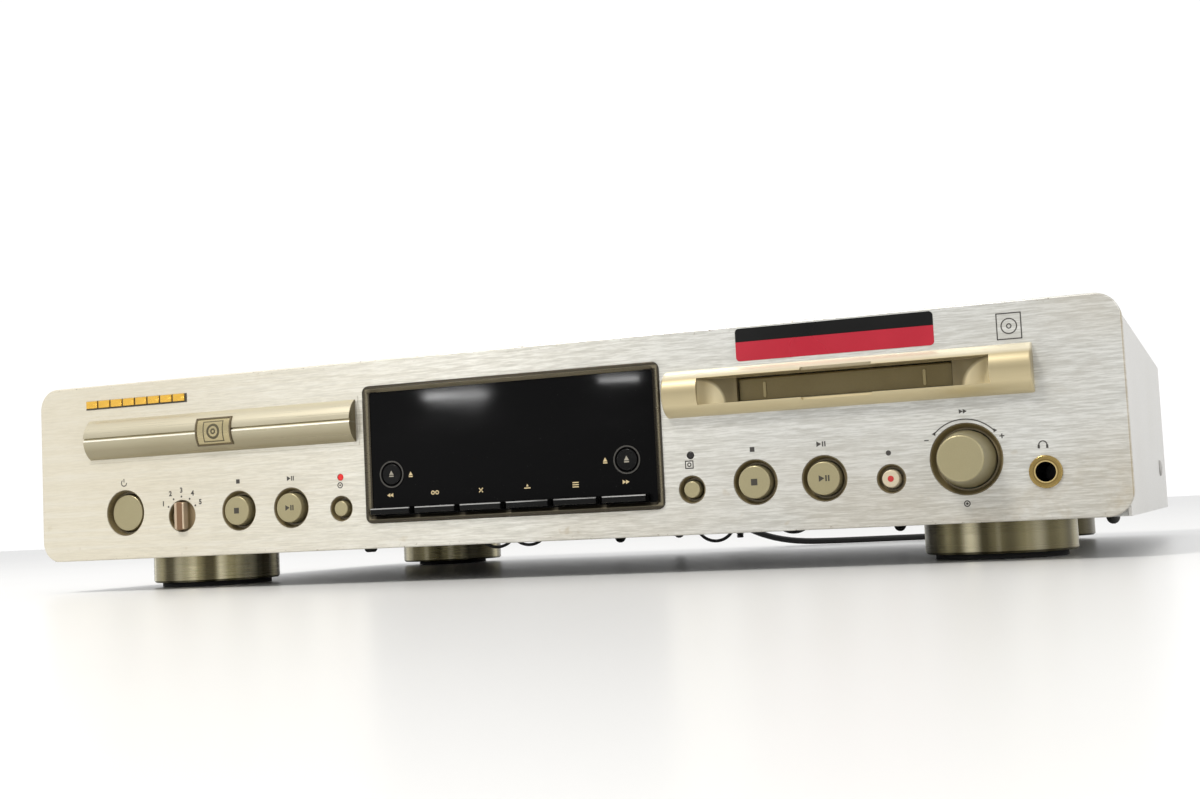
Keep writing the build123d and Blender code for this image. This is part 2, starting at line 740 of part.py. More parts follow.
# Control board with a switch behind every button, the jog encoder and the mode switch
button_places = [(x, z) for x, z, bore, base in controls[:8]]
button_places += [(x, soft_button_z) for x in soft_buttons]
button_places += [(x, key_z) for x in keys_x]
with BuildPart() as front_board:
    with BuildSketch(face_at(board_depth)):
        with Locations(((board_left + board_right) / 2, (board_bottom + board_shelf) / 2)):
            Rectangle(board_right - board_left, board_shelf - board_bottom)
        with Locations((display_x, (board_bottom + board_top) / 2)):
            Rectangle(display_width - 4, board_top - board_bottom)
    extrude(amount=-board_thick)
    with BuildSketch(face_at(board_depth)):
        for x, z in button_places:
            with Locations((x, z)):
                Rectangle(switch_size, switch_size)
    extrude(amount=switch_height)
    for x, z in ((jog_x, jog_z), (mode_x, mode_z)):
        with BuildSketch(face_at(board_depth)):
            with Locations((x, z)):
                Rectangle(encoder_size, encoder_size)
                Circle(jog_shaft_radius + shaft_fit, mode=Mode.SUBTRACT)
        extrude(amount=encoder_height)
keep(front_board, "front_board")

# Two lamps, from their faces to the control board
with BuildPart() as status_lamps:
    with BuildSketch(face_at(0)):
        with Locations(*[(x, lamp_z) for x in lamps]):
            Circle(lamp_radius)
    extrude(amount=-board_depth)
    fillet(status_lamps.faces().filter_by(Axis.Y).sort_by(Axis.Y)[:2].edges(), 0.4)
keep(status_lamps, "status_lamps")

# Display: bevelled trim, dark window and the glowing tube behind it
with BuildPart() as display_trim:
    with BuildSketch(face_at(-trim_proud)):
        with Locations((display_x, display_z)):
            RectangleRounded(display_width, display_height, display_corner)
            RectangleRounded(window_width + 2 * window_gap, window_height + 2 * window_gap, 1.0,
                             mode=Mode.SUBTRACT)
    extrude(amount=-(trim_proud + plate_thick))
    front_edges = display_trim.faces().sort_by(Axis.Y)[0].inner_wires()[0].edges()
    chamfer(front_edges, trim_bevel)
    fillet(display_trim.faces().sort_by(Axis.Y)[0].outer_wire().edges(), 0.4)
keep(display_trim, "display_trim")

with BuildPart() as display_window:
    with BuildSketch(face_at(window_sink)):
        with Locations((display_x, display_z)):
            RectangleRounded(window_width, window_height, 1.0)
    extrude(amount=-(plate_thick - window_sink))
    with BuildSketch(face_at(window_sink)):
        with Locations(*[(x, soft_button_z) for x in soft_buttons]):
            Circle(ring_outer)
            Circle(ring_inner, mode=Mode.SUBTRACT)
    extrude(amount=ring_height)
    with BuildSketch(face_at(window_sink)):
        with Locations(*[(x, soft_button_z) for x in soft_buttons]):
            Circle(soft_button_radius + button_gap)
        with Locations(*[(x, key_z) for x in keys_x]):
            Rectangle(key_width + 2 * key_gap, key_height + 2 * key_gap)
    extrude(amount=-(plate_thick - window_sink), mode=Mode.SUBTRACT)
    with BuildSketch(face_at(plate_thick)):
        with Locations((display_x, tube_z)):
            Rectangle(tube_width + 1, tube_height + 1)
    extrude(amount=plate_thick - window_sink - window_thick, mode=Mode.SUBTRACT)
keep(display_window, "display_window")

with BuildPart() as display_tube:
    with BuildSketch(face_at(board_depth)):
        with Locations((display_x, tube_z)):
            RectangleRounded(tube_width, tube_height, 1.5)
    extrude(amount=tube_thick)
    with BuildSketch(face_at(board_depth - tube_thick)):
        with Locations((display_x, tube_z)):
            RectangleRounded(tube_width - 8, tube_height - 6, 1.0)
    extrude(amount=0.8)
keep(display_tube, "display_tube")

# Headphone socket with its threaded ring
with BuildPart() as headphone_jack:
    with BuildSketch(face_at(-phones_proud)):
        with Locations((phones_x, phones_z)):
            Circle(phones_ring_radius)
    extrude(amount=-phones_proud)
    fillet(headphone_jack.faces().sort_by(Axis.Y)[0].edges(), 0.4)
    with BuildSketch(face_at(0)):
        with Locations((phones_x, phones_z)):
            Circle(phones_ring_radius - phones_flange)
    extrude(amount=-(frame_back + 0.2))
    with BuildSketch(face_at(frame_back + 0.2)):
        with Locations((phones_x, phones_z)):
            Rectangle(phones_body, phones_body)
    extrude(amount=-(phones_depth - frame_back + 2.0))
    with BuildSketch(face_at(-phones_proud)):
        with Locations((phones_x, phones_z)):
            Circle(phones_bore)
    extrude(amount=-(phones_depth + phones_proud), mode=Mode.SUBTRACT)
keep(headphone_jack, "headphone_jack")

# Drawer front: a rounded bar with a groove along its middle
with BuildPart() as drawer_front:
    with BuildSketch(Plane.YZ.offset(drawer_left)):
        with BuildLine():
            top, heel = (y_at(0), drawer_top), (y_at(0), drawer_bottom)
            ThreePointArc(heel, (y_at(-drawer_proud), drawer_z), top)
            Polyline(top, (y_at(drawer_back), drawer_top), (y_at(drawer_back), drawer_bottom), heel)
        make_face()
    extrude(amount=drawer_width)
    with BuildSketch(Plane.YZ.offset(drawer_left)):
        with BuildLine():
            mouth, lip = y_at(-drawer_proud - 1), y_at(-drawer_proud)
            high, low = drawer_z + groove_above, drawer_z - groove_below
            Polyline((mouth, high), (lip + drawer_groove, high), (lip, low), (mouth, low), close=True)
        make_face()
    extrude(amount=drawer_width, mode=Mode.SUBTRACT)
keep(drawer_front, "drawer_front")

# Tray: a flat carrier with a disc well, a slot that is open to the rear, and a rack below
with BuildPart() as cd_tray:
    with BuildSketch(level_at(tray_bottom)):
        with BuildLine():
            left, right = tray_left, tray_right
            front, plate_end, end = y_at(drawer_back), y_at(tray_plate_end), y_at(tray_end)
            Polyline((left, front), (right, front), (right, end), (right - tray_arm, end),
                     (right - tray_arm, plate_end), (left + tray_arm, plate_end),
                     (left + tray_arm, end), (left, end), close=True)
        make_face()
    extrude(amount=tray_top - tray_bottom)
    with BuildSketch(level_at(well_floor)):
        with Locations((disc_x, y_at(disc_depth))):
            Circle(disc_well_radius)
    extrude(amount=tray_top - well_floor, mode=Mode.SUBTRACT)
    with BuildSketch(level_at(tray_bottom)):
        with Locations((disc_x, y_at(disc_depth))):
            Circle(tray_slot)
        with Locations((disc_x, y_at((disc_depth + tray_end) / 2))):
            Rectangle(2 * tray_slot, tray_end - disc_depth)
    extrude(amount=tray_top - tray_bottom, mode=Mode.SUBTRACT)
    rack_pitch = math.pi * rack_module
    rack_line = gear_x - pinion_radius
    rack_side = rack_line - 1.25 * rack_module - rack_back
    rack_teeth = int((tray_end - rack_start) / rack_pitch) - 1
    with BuildSketch(level_at(rack_bottom)):
        with Locations((rack_side + rack_back / 2, y_at((rack_start + tray_end) / 2))):
            Rectangle(rack_back, tray_end - rack_start)
        first = gear_depth + rack_pitch / 2
        before = int((first - rack_start) / rack_pitch)
        for tooth in range(-before + 1, rack_teeth - before):
            middle = y_at(first + tooth * rack_pitch)
            half_root = rack_pitch / 4 + 1.25 * rack_module * math.tan(math.radians(20)) - backlash / 2
            half_tip = rack_pitch / 4 - 0.9 * rack_module * math.tan(math.radians(20)) - backlash / 2
            with BuildLine():
                Polyline((rack_side + rack_back, middle - half_root),
                         (rack_line + 0.9 * rack_module, middle - half_tip),
                         (rack_line + 0.9 * rack_module, middle + half_tip),
                         (rack_side + rack_back, middle + half_root), close=True)
            make_face()
    extrude(amount=tray_bottom - rack_bottom)
keep(cd_tray, "cd_tray")

# Loader: a moulded trough with rails for the tray, axles for the gears and lugs for the deck
with BuildPart() as loader_frame:
    middle_depth = (loader_front + loader_rear) / 2
    loader_length = loader_rear - loader_front
    with BuildSketch(level_at(loader_base)):
        with Locations((disc_x, y_at(middle_depth))):
            Rectangle(2 * wall_outer, loader_length)
    extrude(amount=loader_base_thick)
    for side in (-1, 1):
        with BuildSketch(level_at(loader_base)):
            with Locations((disc_x + side * (wall_inner + wall_outer) / 2, y_at(middle_depth))):
                Rectangle(loader_wall, loader_length)
        extrude(amount=loader_wall_top - loader_base)
        rail_x = disc_x + side * (wall_inner - rail_width / 2)
        with BuildSketch(level_at(tray_bottom - rail_gap - rail_thick)):
            with Locations((rail_x, y_at(middle_depth))):
                Rectangle(rail_width, loader_length)
        extrude(amount=rail_thick)
        with BuildSketch(level_at(tray_top + rail_gap)):
            for depth in keeper_depths:
                with Locations((rail_x, y_at(depth))):
                    Rectangle(rail_width, keeper_length)
        extrude(amount=rail_thick)
        lug_x = disc_x + side * (deck_width / 2 + lug_gap + lug_thick / 2)
        with BuildSketch(level_at(loader_floor)):
            with Locations((lug_x, y_at(deck_pivot_depth))):
                Rectangle(lug_thick, lug_length)
        extrude(amount=deck_pivot_z + lug_cap - loader_floor)
        for depth in (loader_front + loader_post_inset, loader_rear - loader_post_inset):
            with BuildSketch(level_at(chassis_floor)):
                with Locations((disc_x + side * (wall_inner - 1.5 * loader_post), y_at(depth))):
                    Circle(loader_post)
            extrude(amount=loader_base - chassis_floor)
    with BuildSketch(Plane.YZ.offset(disc_x)):
        with Locations((y_at(deck_pivot_depth), deck_pivot_z)):
            Circle(deck_pin + shaft_fit)
    extrude(amount=deck_width / 2 + lug_gap + lug_thick, both=True, mode=Mode.SUBTRACT)
    with BuildSketch(level_at(loader_floor)):
        with Locations((gear_x, y_at(gear_depth))):
            Circle(drive_post)
    extrude(amount=drive_wheel_bottom - press_gap - loader_floor)
    with BuildSketch(level_at(loader_floor)):
        with Locations((idler_x, y_at(gear_depth))):
            Circle(idler_post)
    extrude(amount=idler_wheel_bottom - press_gap - loader_floor)
    with BuildSketch(level_at(loader_floor)):
        with Locations((gear_x, y_at(gear_depth))):
            Circle(axle_radius)
    extrude(amount=pinion_bottom + gear_thick - press_gap - loader_floor)
    with BuildSketch(level_at(loader_floor)):
        with Locations((idler_x, y_at(gear_depth))):
            Circle(axle_radius)
    extrude(amount=drive_wheel_bottom + gear_thick - loader_floor)
keep(loader_frame, "loader_frame")


def toothed(plane, teeth, module, turn=0.0):
    # The face of one toothed disc.
    with BuildSketch(plane) as disc:
        with BuildLine():
            Polyline(*gear_outline(teeth, module, turn), close=True)
        make_face()
    return disc.sketch


# Gear train from the tray's rack to the motor
drive_place = Plane(origin=(gear_x, y_at(gear_depth), 0))
idler_place = Plane(origin=(idler_x, y_at(gear_depth), 0))
motor_place = Plane(origin=(motor_x, y_at(gear_depth), 0))
with BuildPart() as drive_gear:
    extrude(toothed(drive_place.offset(pinion_bottom), pinion_teeth, rack_module), amount=gear_thick)
    extrude(toothed(drive_place.offset(drive_wheel_bottom), drive_teeth, gear_module),
            amount=gear_thick)
    with BuildSketch(drive_place.offset(drive_wheel_bottom)):
        Circle(gear_hub)
    extrude(amount=pinion_bottom - drive_wheel_bottom)
    with BuildSketch(drive_place.offset(drive_wheel_bottom)):
        Circle(axle_radius + shaft_fit)
    extrude(amount=2 * gear_thick + wheel_space, mode=Mode.SUBTRACT)
keep(drive_gear, "drive_gear")

idler_top = drive_wheel_bottom + gear_thick + 0.2
with BuildPart() as idler_gear:
    extrude(toothed(idler_place.offset(idler_wheel_bottom), idler_teeth, gear_module),
            amount=gear_thick)
    extrude(toothed(idler_place.offset(idler_wheel_bottom), idler_small_teeth, gear_module,
                    math.pi / idler_small_teeth), amount=idler_top - idler_wheel_bottom)
    with BuildSketch(idler_place.offset(idler_wheel_bottom)):
        Circle(axle_radius + shaft_fit)
    extrude(amount=idler_top - idler_wheel_bottom, mode=Mode.SUBTRACT)
keep(idler_gear, "idler_gear")

motor_top = idler_wheel_bottom - motor_gap
with BuildPart() as loading_motor:
    with BuildSketch(motor_place.offset(loader_floor)):
        Circle(motor_radius)
    extrude(amount=motor_top - loader_floor)
    with BuildSketch(motor_place.offset(motor_top)):
        Circle(motor_shaft + shaft_fit)
    extrude(amount=-motor_bore, mode=Mode.SUBTRACT)
keep(loading_motor, "loading_motor")

with BuildPart() as motor_gear:
    extrude(toothed(motor_place.offset(idler_wheel_bottom - 0.2), motor_teeth, gear_module,
                    math.pi / motor_teeth), amount=gear_thick + 0.4)
    with BuildSketch(motor_place.offset(motor_top - motor_bore + 1.0)):
        Circle(motor_shaft)
    extrude(amount=idler_wheel_bottom - motor_top + motor_bore - 1.0)
keep(motor_gear, "motor_gear")

# Deck that tilts down at its front, with its spindle motor
deck_bottom = deck_top - deck_thick
deck_rear = deck_pivot_depth + 4.0
pickup_front = disc_depth + pickup_rest - pickup_length / 2
pickup_rear = pickup_front + pickup_length + pickup_travel
rod_front, rod_rear = pickup_front - rod_block - 0.5, pickup_rear + rod_block + 2.0
with BuildPart() as cd_deck:
    with BuildSketch(level_at(deck_bottom)):
        with Locations((disc_x, y_at((deck_front + deck_rear) / 2))):
            Rectangle(deck_width, deck_rear - deck_front)
        with Locations((disc_x, y_at((pickup_front + pickup_rear) / 2 + 0.5))):
            Rectangle(pickup_width + 2, pickup_rear - pickup_front + 2, mode=Mode.SUBTRACT)
        with Locations((disc_x, y_at(disc_depth))):
            Circle(neck_radius + 1.0, mode=Mode.SUBTRACT)
    extrude(amount=deck_thick)
    for side in (-1, 1):
        with BuildSketch(level_at(deck_pivot_z - ear_drop)):
            with Locations((disc_x + side * (deck_width - ear_thick) / 2, y_at(deck_pivot_depth))):
                Rectangle(ear_thick, ear_length)
        extrude(amount=deck_bottom - deck_pivot_z + ear_drop)
        with BuildSketch(Plane.YZ.offset(disc_x + side * deck_width / 2)):
            with Locations((y_at(deck_pivot_depth), deck_pivot_z)):
                Circle(deck_pin)
        extrude(amount=side * (lug_gap + lug_thick - 0.5))
    for depth in (rod_front + rod_block / 2, rod_rear - rod_block / 2):
        with BuildSketch(level_at(deck_top)):
            with Locations((disc_x, y_at(depth))):
                Rectangle(pickup_width - 1, rod_block)
        extrude(amount=rod_z + rod_radius + rod_cap - deck_top)
    with BuildSketch(face_at(rod_front)):
        for side in (-1, 1):
            with Locations((disc_x + side * rod_offset, rod_z)):
                Circle(rod_radius + 0.03)
    extrude(amount=-(rod_rear - rod_front), mode=Mode.SUBTRACT)
keep(cd_deck, "cd_deck")

with BuildPart() as pickup_rods:
    with BuildSketch(face_at(rod_front)):
        for side in (-1, 1):
            with Locations((disc_x + side * rod_offset, rod_z)):
                Circle(rod_radius)
    extrude(amount=-(rod_rear - rod_front))
keep(pickup_rods, "pickup_rods")

spindle_place = Plane(origin=(disc_x, y_at(disc_depth), 0))
with BuildPart() as spindle_motor:
    with BuildSketch(spindle_place.offset(deck_bottom)):
        Circle(spindle_motor_radius)
    extrude(amount=-spindle_motor_height)
    with BuildSketch(spindle_place.offset(deck_bottom)):
        Circle(spindle_shaft + shaft_fit)
    extrude(amount=-(spindle_motor_height - 1.5), mode=Mode.SUBTRACT)
keep(spindle_motor, "spindle_motor")

with BuildPart() as turntable:
    with BuildSketch(spindle_place.offset(spindle_top - platter_thick)):
        Circle(spindle_radius)
    extrude(amount=platter_thick)
    with BuildSketch(spindle_place.offset(spindle_top)):
        Circle(hub_radius)
    extrude(amount=hub_top - spindle_top)
    chamfer(turntable.faces().sort_by(Axis.Z)[-1].edges(), 1.2)
    with BuildSketch(spindle_place.offset(deck_bottom + press_gap)):
        Circle(neck_radius)
    extrude(amount=spindle_top - platter_thick - deck_bottom - press_gap)
    with BuildSketch(spindle_place.offset(deck_bottom - spindle_motor_height + 2.0)):
        Circle(spindle_shaft)
    extrude(amount=spindle_motor_height - 2.0 + press_gap)
keep(turntable, "turntable")

# Optical pickup on its two rods
pickup_depth = disc_depth + pickup_rest
with BuildPart() as cd_pickup:
    with BuildSketch(level_at(pickup_bottom)):
        with Locations((disc_x, y_at(pickup_depth))):
            Rectangle(pickup_width, pickup_length)
    extrude(amount=pickup_top - pickup_bottom)
    with BuildSketch(level_at(pickup_bottom)):
        with Locations((disc_x, y_at(pickup_depth))):
            Rectangle(pickup_width - 3, pickup_length - 4)
    extrude(amount=-5.0)
    with BuildSketch(level_at(pickup_top)):
        with Locations((disc_x, y_at(pickup_depth))):
            Circle(lens_radius)
    extrude(amount=lens_top - pickup_top)
    with BuildSketch(face_at(pickup_depth)):
        for side in (-1, 1):
            with Locations((disc_x + side * rod_offset, rod_z)):
                Circle(rod_radius + shaft_fit)
    extrude(amount=pickup_length, both=True, mode=Mode.SUBTRACT)
keep(cd_pickup, "cd_pickup")

# Clamper: a puck below the bridge and a flange above it, which carries it
bridge_top = bridge_bottom + bridge_thick
with BuildPart() as clamp_bridge:
    bridge_middle = bridge_front + bridge_length / 2
    with BuildSketch(level_at(bridge_bottom)):
        with Locations((disc_x, y_at(bridge_middle))):
            Rectangle(2 * wall_outer, bridge_length)
        with Locations((disc_x, y_at(disc_depth))):
            Circle(clamper_neck + press_gap, mode=Mode.SUBTRACT)
    extrude(amount=bridge_thick)
    for side in (-1, 1):
        with BuildSketch(level_at(loader_wall_top)):
            with Locations((disc_x + side * (wall_outer - bridge_thick / 2), y_at(bridge_middle))):
                Rectangle(bridge_thick, bridge_length)
        extrude(amount=bridge_bottom - loader_wall_top)
keep(clamp_bridge, "clamp_bridge")

with BuildPart() as clamper:
    with BuildSketch(spindle_place.offset(clamper_bottom)):
        Circle(clamper_radius)
    extrude(amount=clamper_body_top - clamper_bottom)
    with BuildSketch(spindle_place.offset(clamper_body_top)):
        Circle(clamper_neck)
    extrude(amount=bridge_top + press_gap - clamper_body_top)
    with BuildSketch(spindle_place.offset(bridge_top + press_gap)):
        Circle(clamper_flange)
    extrude(amount=bridge_thick)
    with BuildSketch(spindle_place.offset(clamper_bottom)):
        Circle(hub_radius + 0.5)
    extrude(amount=hub_top - clamper_bottom + 0.6, mode=Mode.SUBTRACT)
keep(clamper, "clamper")

# Minidisc bezel: a half-round bar with a scooped recess, and a collar through the plate
with BuildPart() as md_bezel:
    with BuildSketch(Plane.YZ.offset(bezel_left)):
        with BuildLine():
            low, high = (y_at(0), bezel_bottom), (y_at(0), bezel_top)
            ThreePointArc(low, (y_at(-bezel_proud), bezel_z), high)
            Line(high, low)
        make_face()
    extrude(amount=bezel_right - bezel_left)
    for end in (md_bezel.faces().sort_by(Axis.X)[0], md_bezel.faces().sort_by(Axis.X)[-1]):
        fillet(end.edges().sort_by(Axis.Y)[0], bezel_edge)
    with BuildSketch(face_at(0)):
        with Locations((collar_x, collar_z)):
            Rectangle(collar_width, collar_height)
    extrude(amount=-collar_depth)
    with BuildSketch(level_at(recess_bottom)):
        with BuildLine():
            mouth, floor = y_at(-recess_mouth), y_at(recess_floor)
            outside = y_at(-bezel_proud - 1)
            left_bend = (recess_left + (slot_left - recess_left) * 0.22, y_at(0.8))
            right_bend = (recess_right - (recess_right - slot_right) * 0.22, y_at(0.8))
            Polyline((recess_left, mouth), (recess_left, outside), (recess_right, outside),
                     (recess_right, mouth))
            ThreePointArc((recess_right, mouth), right_bend, (slot_right, floor))
            Line((slot_right, floor), (slot_left, floor))
            ThreePointArc((slot_left, floor), left_bend, (recess_left, mouth))
        make_face()
    extrude(amount=recess_top - recess_bottom, mode=Mode.SUBTRACT)
    with BuildSketch(face_at(recess_floor)):
        with Locations((slot_x, slot_z)):
            Rectangle(slot_width, slot_height)
    extrude(amount=-(collar_depth - recess_floor), mode=Mode.SUBTRACT)
    with BuildSketch(face_at(-bezel_proud)):
        with Locations((slot_x, (recess_bottom + recess_top) / 2)):
            Rectangle(notch_width, recess_top - recess_bottom + 2 * notch_step)
    extrude(amount=-(bezel_proud - 3.0), mode=Mode.SUBTRACT)
    hinge_depth = flap_front + flap_thick / 2
    hinge_z = slot_top - flap_drop
    with BuildSketch(Plane.YZ.offset(slot_x)):
        with Locations((y_at(hinge_depth), hinge_z)):
            Circle(flap_pin + shaft_fit)
    extrude(amount=slot_width / 2 + flap_pin_length, both=True, mode=Mode.SUBTRACT)
keep(md_bezel, "md_bezel")

# Slot flap: hangs from two pins and swings inwards
flap_half = slot_width / 2 - flap_gap
with BuildPart() as md_flap:
    with BuildSketch(Plane.YZ.offset(slot_x - flap_half)):
        with Locations((y_at(hinge_depth), hinge_z)):
            Circle(flap_thick / 2)
        with Locations((y_at(hinge_depth), (hinge_z + slot_bottom + press_gap) / 2)):
            Rectangle(flap_thick, hinge_z - slot_bottom - press_gap)
    extrude(amount=2 * flap_half)
    with BuildSketch(Plane.YZ.offset(slot_x)):
        with Locations((y_at(hinge_depth), hinge_z)):
            Circle(flap_pin)
    extrude(amount=flap_half + flap_pin_length, both=True)
    with BuildSketch(face_at(flap_front)):
        for side in (-1, 1):
            with Locations((slot_x + side * (flap_half - flap_rib_inset), slot_z - 0.6)):
                RectangleRounded(flap_rib_width, slot_height - 3.2, flap_rib_width / 2 - 0.01)
    extrude(amount=flap_rib_proud)
keep(md_flap, "md_flap")

# Minidisc drive: base, side walls with guide slots, posts, spindle boss and pickup rods
holder_half = holder_inner / 2 + holder_sheet
md_inner = holder_half + md_wall_gap
md_outer = md_inner + md_wall
md_middle = md_front + md_length / 2
md_floor = md_base + md_base_thick
holder_pin_depths = (holder_front + holder_pin_inset, holder_front + holder_length - holder_pin_inset)
holder_pin_z = holder_bottom + holder_height / 2
md_pickup_depth = md_spindle_depth + md_pickup_rest
md_rod_front = md_pickup_depth - md_pickup_length / 2 - 2.8
md_rod_rear = md_pickup_depth + md_pickup_length / 2 + md_pickup_travel + 2.8
with BuildPart() as md_drive:
    with BuildSketch(level_at(md_base)):
        with Locations((md_x, y_at(md_middle))):
            Rectangle(2 * md_outer, md_length)
    extrude(amount=md_base_thick)
    for side in (-1, 1):
        with BuildSketch(level_at(md_base)):
            with Locations((md_x + side * (md_inner + md_outer) / 2, y_at(md_middle))):
                Rectangle(md_wall, md_length)
        extrude(amount=md_wall_top - md_base)
        for depth in (md_front + 13.0, md_front + md_length - 9.0):
            with BuildSketch(level_at(chassis_floor)):
                with Locations((md_x + side * (md_inner - 5.0), y_at(depth))):
                    Circle(md_post)
            extrude(amount=md_base - chassis_floor)
    for depth in holder_pin_depths:
        with BuildSketch(Plane.YZ.offset(md_x)):
            with Locations((y_at(depth), holder_pin_z - holder_drop / 2)):
                SlotCenterToCenter(holder_drop + 2 * press_gap, 2 * (holder_pin + shaft_fit), rotation=90)
        extrude(amount=md_outer, both=True, mode=Mode.SUBTRACT)
    with BuildSketch(level_at(md_floor)):
        with Locations((md_x, y_at(md_spindle_depth))):
            Circle(md_spindle_radius + md_boss_rim)
    extrude(amount=md_boss)
    with BuildSketch(level_at(md_floor + md_boss)):
        with Locations((md_x, y_at(md_spindle_depth))):
            Circle(spindle_shaft + shaft_fit)
    extrude(amount=-(md_boss + 1.0), mode=Mode.SUBTRACT)
    for depth in (md_rod_front + md_rod, md_rod_rear - md_rod):
        with BuildSketch(level_at(md_floor)):
            with Locations((md_x, y_at(depth))):
                Rectangle(md_pickup_width, 2 * md_rod)
        extrude(amount=md_rod_z + md_rod + md_rod_cap - md_floor)
    with BuildSketch(face_at(md_rod_front)):
        for side in (-1, 1):
            with Locations((md_x + side * md_rod_offset, md_rod_z)):
                Circle(md_rod)
    extrude(amount=-(md_rod_rear - md_rod_front))
keep(md_drive, "md_drive")

with BuildPart() as md_holder:
    with BuildSketch(face_at(holder_front)):
        with Locations((md_x, holder_bottom + holder_height / 2)):
            Rectangle(2 * holder_half, holder_height)
            Rectangle(holder_inner, holder_height - 2 * holder_sheet, mode=Mode.SUBTRACT)
        with Locations((md_x, holder_bottom + holder_sheet / 2)):
            Rectangle(holder_inner - 2 * holder_lip, 2 * holder_sheet, mode=Mode.SUBTRACT)
    extrude(amount=-holder_length)
    with BuildSketch(level_at(holder_bottom + holder_height)):
        with Locations((md_x, y_at(md_spindle_depth + 10.0))):
            RectangleRounded(22.0, 44.0, 3.0)
    extrude(amount=-holder_sheet, mode=Mode.SUBTRACT)
    for side in (-1, 1):
        with BuildSketch(Plane.YZ.offset(md_x + side * holder_half)):
            for depth in holder_pin_depths:
                with Locations((y_at(depth), holder_pin_z)):
                    Circle(holder_pin)
        extrude(amount=side * (md_wall_gap + md_wall))
keep(md_holder, "md_holder")

with BuildPart() as md_spindle:
    with BuildSketch(level_at(md_floor + md_boss + press_gap)):
        with Locations((md_x, y_at(md_spindle_depth))):
            Circle(md_spindle_radius)
    extrude(amount=md_disc_thick)
    with BuildSketch(level_at(md_floor + md_boss + press_gap)):
        with Locations((md_x, y_at(md_spindle_depth))):
            Circle(md_spindle_radius - md_disc_rim)
    extrude(amount=md_spindle_top - md_floor - md_boss - press_gap)
    with BuildSketch(level_at(md_floor - 1.0 + press_gap)):
        with Locations((md_x, y_at(md_spindle_depth))):
            Circle(spindle_shaft)
    extrude(amount=md_boss + 1.0)
keep(md_spindle, "md_spindle")

with BuildPart() as md_pickup:
    with BuildSketch(level_at(md_pickup_bottom)):
        with Locations((md_x, y_at(md_pickup_depth))):
            Rectangle(md_pickup_width, md_pickup_length)
    extrude(amount=md_pickup_top - md_pickup_bottom)
    with BuildSketch(level_at(md_pickup_top)):
        with Locations((md_x, y_at(md_pickup_depth))):
            Circle(2.6)
    extrude(amount=1.2)
    with BuildSketch(face_at(md_pickup_depth)):
        for side in (-1, 1):
            with Locations((md_x + side * md_rod_offset, md_rod_z)):
                Circle(md_rod + shaft_fit)
    extrude(amount=md_pickup_length, both=True, mode=Mode.SUBTRACT)
keep(md_pickup, "md_pickup")

# Main board with its capacitors, regulator sink and connectors
with BuildPart() as main_board:
    with BuildSketch(level_at(main_z)):
        with Locations(((main_left + main_right) / 2, y_at((main_front + main_rear) / 2))):
            Rectangle(main_right - main_left, main_rear - main_front)
    extrude(amount=board_thick)
    with BuildSketch(level_at(main_z + board_thick)):
        for column in range(4):
            for row in range(2):
                with Locations((main_left + capacitor_inset + column * capacitor_pitch_x,
                                y_at(main_rear - capacitor_back - row * capacitor_pitch_y))):
                    Circle(capacitor_radius)
    extrude(amount=capacitor_height)
    with BuildSketch(level_at(main_z + board_thick)):
        with Locations((main_right - chip_inset, y_at(main_front + chip_back))):
            Rectangle(chip_size, chip_size)
    extrude(amount=chip_height)
    with BuildSketch(level_at(main_z + board_thick)):
        with Locations((main_left + sink_inset, y_at(main_front + sink_back))):
            Rectangle(sink_length, sink_wall)
            with GridLocations(sink_pitch, 1, sink_fins, 1):
                Rectangle(fin_thick, sink_fin)
    extrude(amount=sink_height)
keep(main_board, "main_board")

# Mains transformer on the floor
with BuildPart() as power_transformer:
    with BuildSketch(level_at(chassis_floor)):
        with Locations((transformer_x, y_at(transformer_depth))):
            Rectangle(core_width, core_length)
    extrude(amount=core_height)
    fillet(power_transformer.edges().filter_by(Axis.Z), 1.0)
    with BuildSketch(level_at(chassis_floor + bobbin_inset)):
        with Locations((transformer_x, y_at(transformer_depth))):
            RectangleRounded(bobbin_width, bobbin_length, 5.0)
    extrude(amount=core_height - 2 * bobbin_inset)
keep(power_transformer, "power_transformer")

